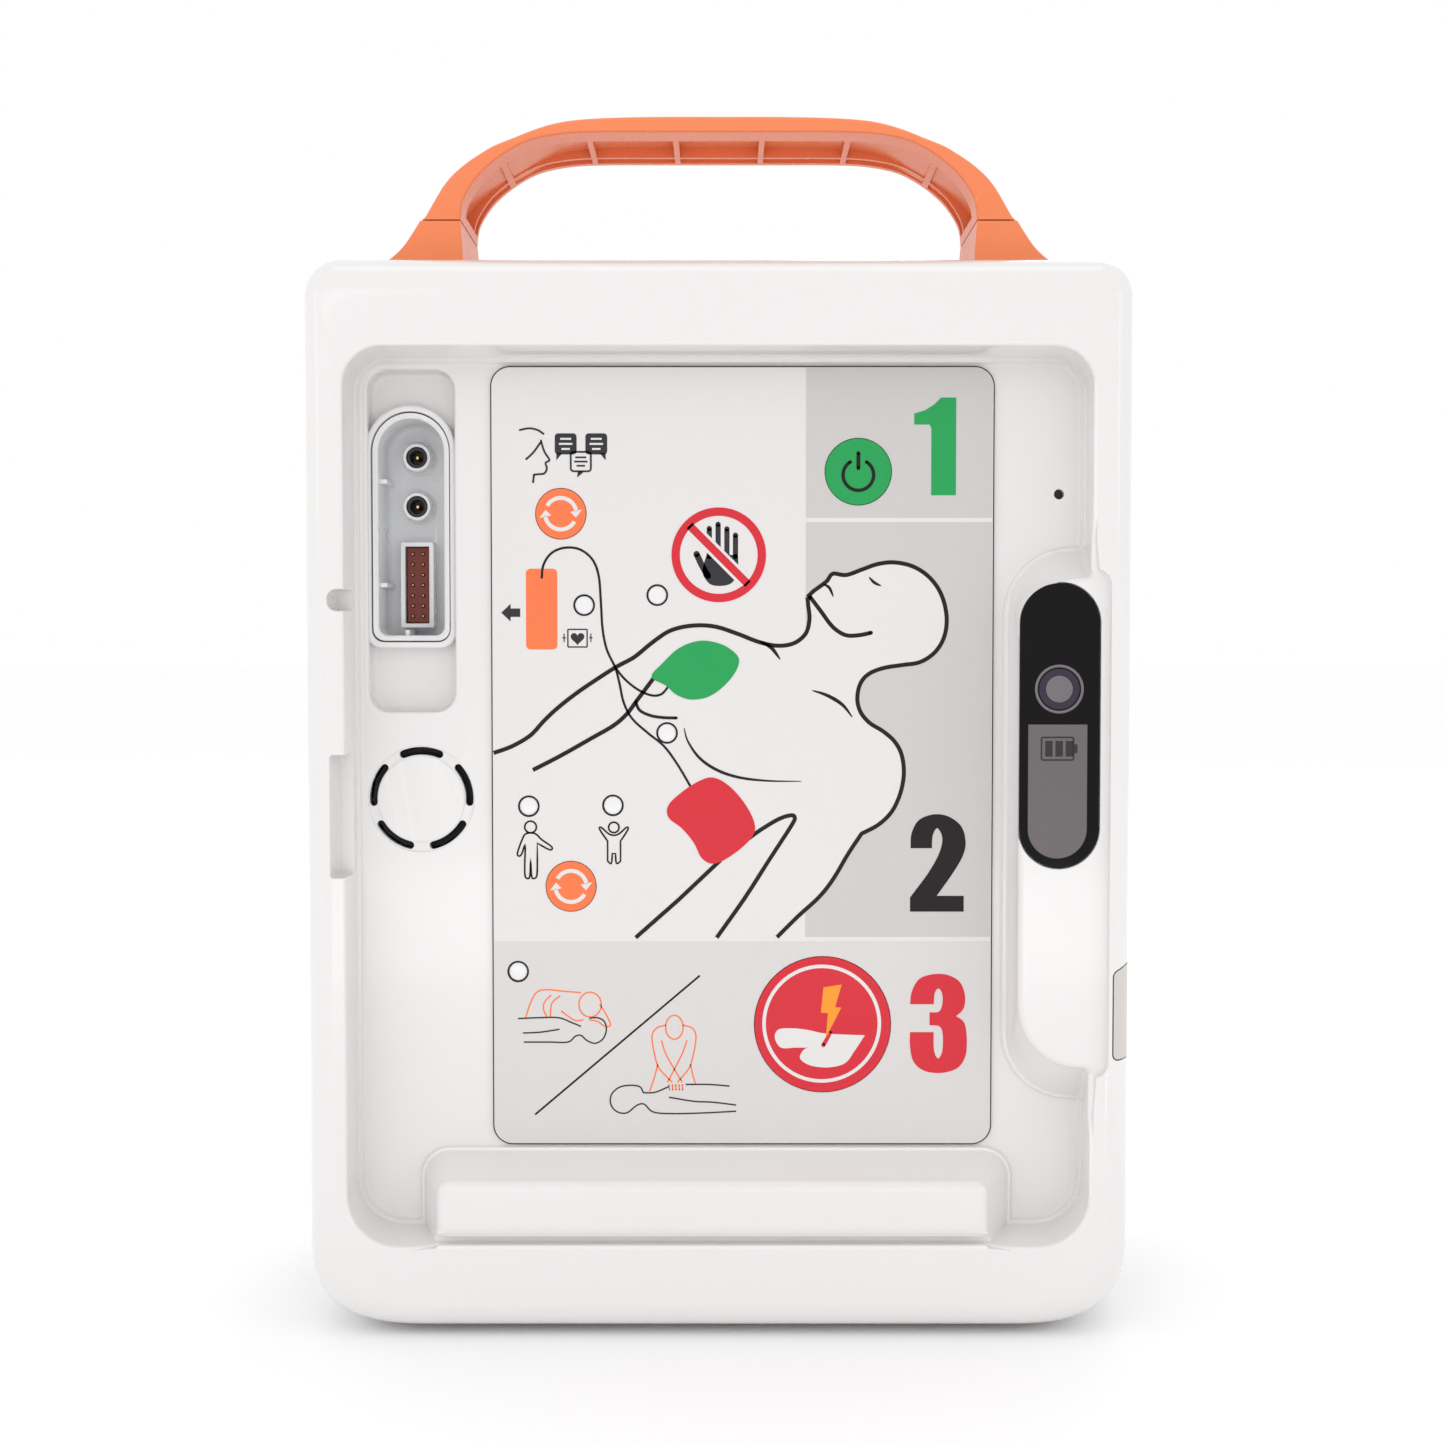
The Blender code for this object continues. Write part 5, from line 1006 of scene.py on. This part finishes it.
def make_well():
    x, z = grown(WELL_X, WELL_Z, -0.3)
    well = slab("plug_well", stadium(x, z, 2.8), (FRONT + 18.2, FRONT + 34.5))
    inner_x, inner_z = grown(x, z, -1.3)
    cup = pocket("cup", stadium(inner_x, inner_z, 2.2), 18.2, 33, 0.5, toe=1.6, above=2)
    cut(well, cup)
    for place in SOCKETS:
        join_to(well, turned("collar", place, [(0, -13.6), (4.4, -13.6), (4.2, -14.6), (3.7, -15.2),
                (3.5, -19.1), (3.3, -19.5), (0, -19.5)], 40))
    frame_outline = rectangle((-78.2, -70), (167.7, 188.7), 0.5, 3)
    cut(well, box("bore", (-77.3, -70.9), (FRONT + 30, FRONT + 36), (168.5, 187.9)))
    surround = slab("frame", frame_outline, (FRONT + 28, FRONT + 34), 0.3, 2)
    cut(surround, slab("bore", rectangle((-77.05, -71.15), (168.75, 187.65), 0.2, 2),
            (FRONT + 27, FRONT + 36)))
    join_to(well, surround)
    holes = [round_bar("bore", place, 2.65, (-20, -12), steps=32) for place in SOCKETS]
    cut(well, joined("bores", holes))
    ribs = [box("rib", (-82.4, -80.4), (FRONT + 21, FRONT + 33.5), (height - 0.5, height + 0.5))
            for height in (203, 178)]
    ribs.append(box("rib", (-76, -75), (FRONT + 21, FRONT + 33.5), (165.2, 167.1)))
    join_to(well, *ribs)
    piece(well, "well_grey", "case", ["connector_well"])
    for name, place in zip(("upper", "lower"), SOCKETS):
        back, face = -10.5, -19.0
        socket = turned(f"pad_socket_{name}_insert", place, [(0.66, back), (2.5, back), (2.5, face + 0.15),
                (2.35, face), (1.85, face), (1.7, face + 0.15), (1.7, face + 5), (0.66, face + 5),
                (0.66, back)], 36)
        piece(socket, "socket_black", "case", [f"pad_socket_{name}"])
        pin = turned(f"pad_pin_{name}_contact", place, [(0, -9.5), (0.5, -9.5), (0.5, face + 1),
                (0.35, face + 0.7), (0, face + 0.6)], 20)
        piece(pin, "gold", "case", [f"pad_pin_{name}"])
    make_header()


def make_header():
    face, back = FRONT + 29.6, FRONT + 36
    places = [(HEADER[0] + column * PITCH, HEADER[1] + (row - 3) * PITCH) for row in range(7)
            for column in (-0.5, 0.5)]
    block = slab("pin_header", rectangle((-76.85, -71.35), (168.95, 187.45), 0.3, 2), (face, back), 0.2, 2)
    holes = [slab("hole", rectangle((x - 0.42, x + 0.42), (z - 0.42, z + 0.42), 0.1, 2), (face - 1, back + 1))
            for x, z in places]
    cut(block, joined("pin_holes", holes))
    piece(block, "header_red", "case", ["ecg_header"])
    carrier = box("header_pins", (-77.85, -70.35), (back + 0.3, back + 1.8), (167.95, 188.45))
    pins = []
    for x, z in places:
        outline = rectangle((x - 0.32, x + 0.32), (z - 0.32, z + 0.32), 0.06, 2)
        pins.append(loft("pin", [at_depth(offset(outline, -0.14), face - 0.6), at_depth(outline, face - 0.35),
                at_depth(outline, back + 1)]))
    join_to(carrier, joined("pins", pins))
    piece(carrier, "gold", "case", ["ecg_pins"])


# ---- lever, battery pack and back

def make_lever():
    lever = front_body("lid_lever")
    keep = slab("keep", lever_outline(0), (FRONT - 1, FRONT + 18.6))
    cut(lever, keep, operation="INTERSECT")
    cut(lever, box("arm", (LEVER_X - 1, 96.7), (FRONT + 6.6, FRONT + 21), (LEVER_Z[0] - 1, LEVER_Z[1] + 1)))
    cut(lever, box("toe", (LEVER_X - 1, 94.1), (FRONT + 4.6, FRONT + 8), (LEVER_Z[0] - 1, LEVER_Z[1] + 1)))
    bore = round_bar("bore", (0, 0), 0.95, (-20, 20), steps=24)
    bore.data.transform(Matrix.Rotation(pi / 2, 4, "X"))
    bore.data.transform(Matrix.Translation((LEVER_PIN[0] * MM, LEVER_PIN[1] * MM, 77 * MM)))
    cut(lever, bore)
    rounded_edges(lever, 0.3, 2, 50)
    piece(lever, "lever_grey", "release_lever", ["release_lever"])


def make_spring(name, body):
    """A steel coil with its own copy of the CAD node's mesh. On the device the spring shortens as its joint
    moves.
    """
    spring = new_object(f"{name}_coil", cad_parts[name].data.copy())
    piece(spring, "steel", body, [name], angle=60)
    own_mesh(spring)


def make_pack():
    outline = rectangle(*grown(BAY_X, BAY_Z, -0.5), 3)
    cover = slab("pack_cover", outline, (REAR - 3, REAR), 0.5, 3)
    cut(cover, slab("latch_bay", rectangle((-11.4, 11.4), (108.5, 135), 1, 4), (REAR - 4, REAR + 1)))
    grooves = []
    for number in range(7):
        height = 56 + 6 * number
        grooves.append(slab("groove", stadium((-1.2, 1.2), (-30, 30), steps=6), (REAR - 0.8, REAR + 1)))
        grooves[-1].data.transform(Matrix.Translation((0, 0, height * MM)) @ Matrix.Rotation(pi / 2, 4, "Y"))
    cut(cover, joined("grooves", grooves))
    piece(cover, "pack_grey", "battery_pack", ["battery_lid"])
    latch = slab("pack_latch", rectangle((-11, 11), (112, 129), 1, 5), (REAR - 2.6, REAR - 0.4), 0.3, 3)
    ridges = [box("ridge", (-7, 7), (REAR - 0.9, REAR + 1), (115.4 + 2.4 * i, 116.6 + 2.4 * i))
            for i in range(5)]
    cut(latch, joined("ridges", ridges))
    join_to(latch, box("tail", (-3, 3), (REAR - 8.1, REAR - 1.6), (124.5, 127)))
    piece(latch, "latch_orange", "battery_latch", ["battery_latch"])


def make_fastenings():
    for number, (x, z) in enumerate(SCREWS, 1):
        screw = turned(f"screw_{number}", (x, z), [(0, 15.3), (2, 15.25), (3, 14.9), (3.4, 14.2), (3.4, 12.3),
                (1.5, 12.3), (1.5, -18), (0, -20)], 32)
        for a, b in ((1.7, 0.35), (0.35, 1.7)):
            cut(screw, box("slot", (x - a, x + a), (13.6, 16), (z - b, z + b)))
        piece(screw, "steel", "case", [f"case_screw_{number}"])
    for number, place in enumerate(PADS, 1):
        low, high = REAR + 0.3, 47.5
        pad = turned(f"rubber_pad_{number}", place, [(0, low), (7, low), (6.9, high - 0.6), (6.7, high - 0.2),
                (6.3, high), (4.2, high), (4, high - 0.25), (3.4, high - 0.25), (3.2, high), (0, high)])
        piece(pad, "rubber", "case", [f"foot_pad_{number}"])


CAD_LOOKS = {
    "rubber": ["case_gasket"],
    "black_plastic": ["power_switch", "language_switch", "patient_switch", "shock_switch", "display_module",
                      "battery_tray", "contact_block", "hv_transformer", "discharge_relay", "speaker_cone",
                      "microphone"],
    "board_green": ["button_board", "main_board"],
    "ribbon": ["button_ribbon"],
    "sleeve_blue": ["hv_capacitor", "battery_cells"],
    "aluminium": ["heat_sink"],
    "steel": ["speaker_basket", "speaker_magnet", "release_pin"],
    "lead_red": ["hv_lead_upper"],
    "lead_white": ["hv_lead_lower"],
}


def dress_cad_nodes():
    for look, names in CAD_LOOKS.items():
        for name in names:
            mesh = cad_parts[name].data
            mesh.materials.clear()
            mesh.materials.append(LOOKS[look])


# ---- studio

def make_floor():
    """A pale floor out to the horizon, where it meets the pale world."""
    floor = turned("studio_floor", (0, 0), [(0, 0), (900, 0), (3000, 0), (14000, 0)], 96)
    floor.data.transform(Matrix.Rotation(pi / 2, 4, "X"))
    floor.data.materials.append(surface("floor_paper", (0.99, 0.99, 0.99), 0.9, vary=0.003, grain=(400, 0.01),
            specular=0.1))


def light(name, place, target, size, power):
    data = bpy.data.lights.new(name, "AREA")
    data.shape = "RECTANGLE"
    data.size, data.size_y = size[0] * MM, size[1] * MM
    data.energy = power
    lamp = bpy.data.objects.new(name, data)
    lamp.location = Vector(place) * MM
    lamp.rotation_euler = (Vector(target) * MM - lamp.location).to_track_quat("-Z", "Y").to_euler()
    lamp.visible_camera = False
    bpy.context.scene.collection.objects.link(lamp)


def make_studio():
    make_floor()
    light("key_light", (-600, -1200, 700), (0, 0, 60), (700, 500), 0.9)
    light("fill_right", (1500, -900, 700), (0, 0, 100), (300, 900), 1.1)
    light("fill_left", (-1500, -700, 700), (0, 0, 100), (300, 900), 0.9)
    light("top_light", (0, 100, 1700), (0, 0, 150), (1200, 500), 1.6)
    light("low_light", (0, -560, 25), (0, 0, 40), (400, 60), 0.16)
    light("back_light", (400, 1400, 1200), (0, 0, 150), (700, 500), 1.4)
    world = bpy.data.worlds.new("studio")
    world.use_nodes = True
    background = world.node_tree.nodes["Background"]
    background.inputs["Color"].default_value = (1, 1, 1, 1)
    background.inputs["Strength"].default_value = 1.0
    bpy.context.scene.world = world
    bpy.context.scene.view_settings.view_transform = "Standard"
    data = bpy.data.cameras.new("photo_camera")
    data.lens, data.sensor_width = 51.4, 36
    data.clip_start, data.clip_end = 0.02, 20
    camera = bpy.data.objects.new("photo_camera", data)
    camera.location = (0.9 * MM, -527.5 * MM, 163.9 * MM)
    camera.rotation_euler = (radians(90 - 2.2), 0, 0)
    bpy.context.scene.collection.objects.link(camera)
    bpy.context.scene.camera = camera


make_front_shell()
make_rear_shell()
make_handle()
make_film()
make_zones()
make_line_art()
make_marks()
make_coloured_marks()
make_power_key()
make_cycle_key("language")
make_cycle_key("patient")
make_shock_key()
make_lenses()
make_window()
make_well()
make_lever()
make_pack()
make_fastenings()
make_spring("release_spring", "case")
make_spring("latch_spring", "battery_pack")
dress_cad_nodes()
make_studio()
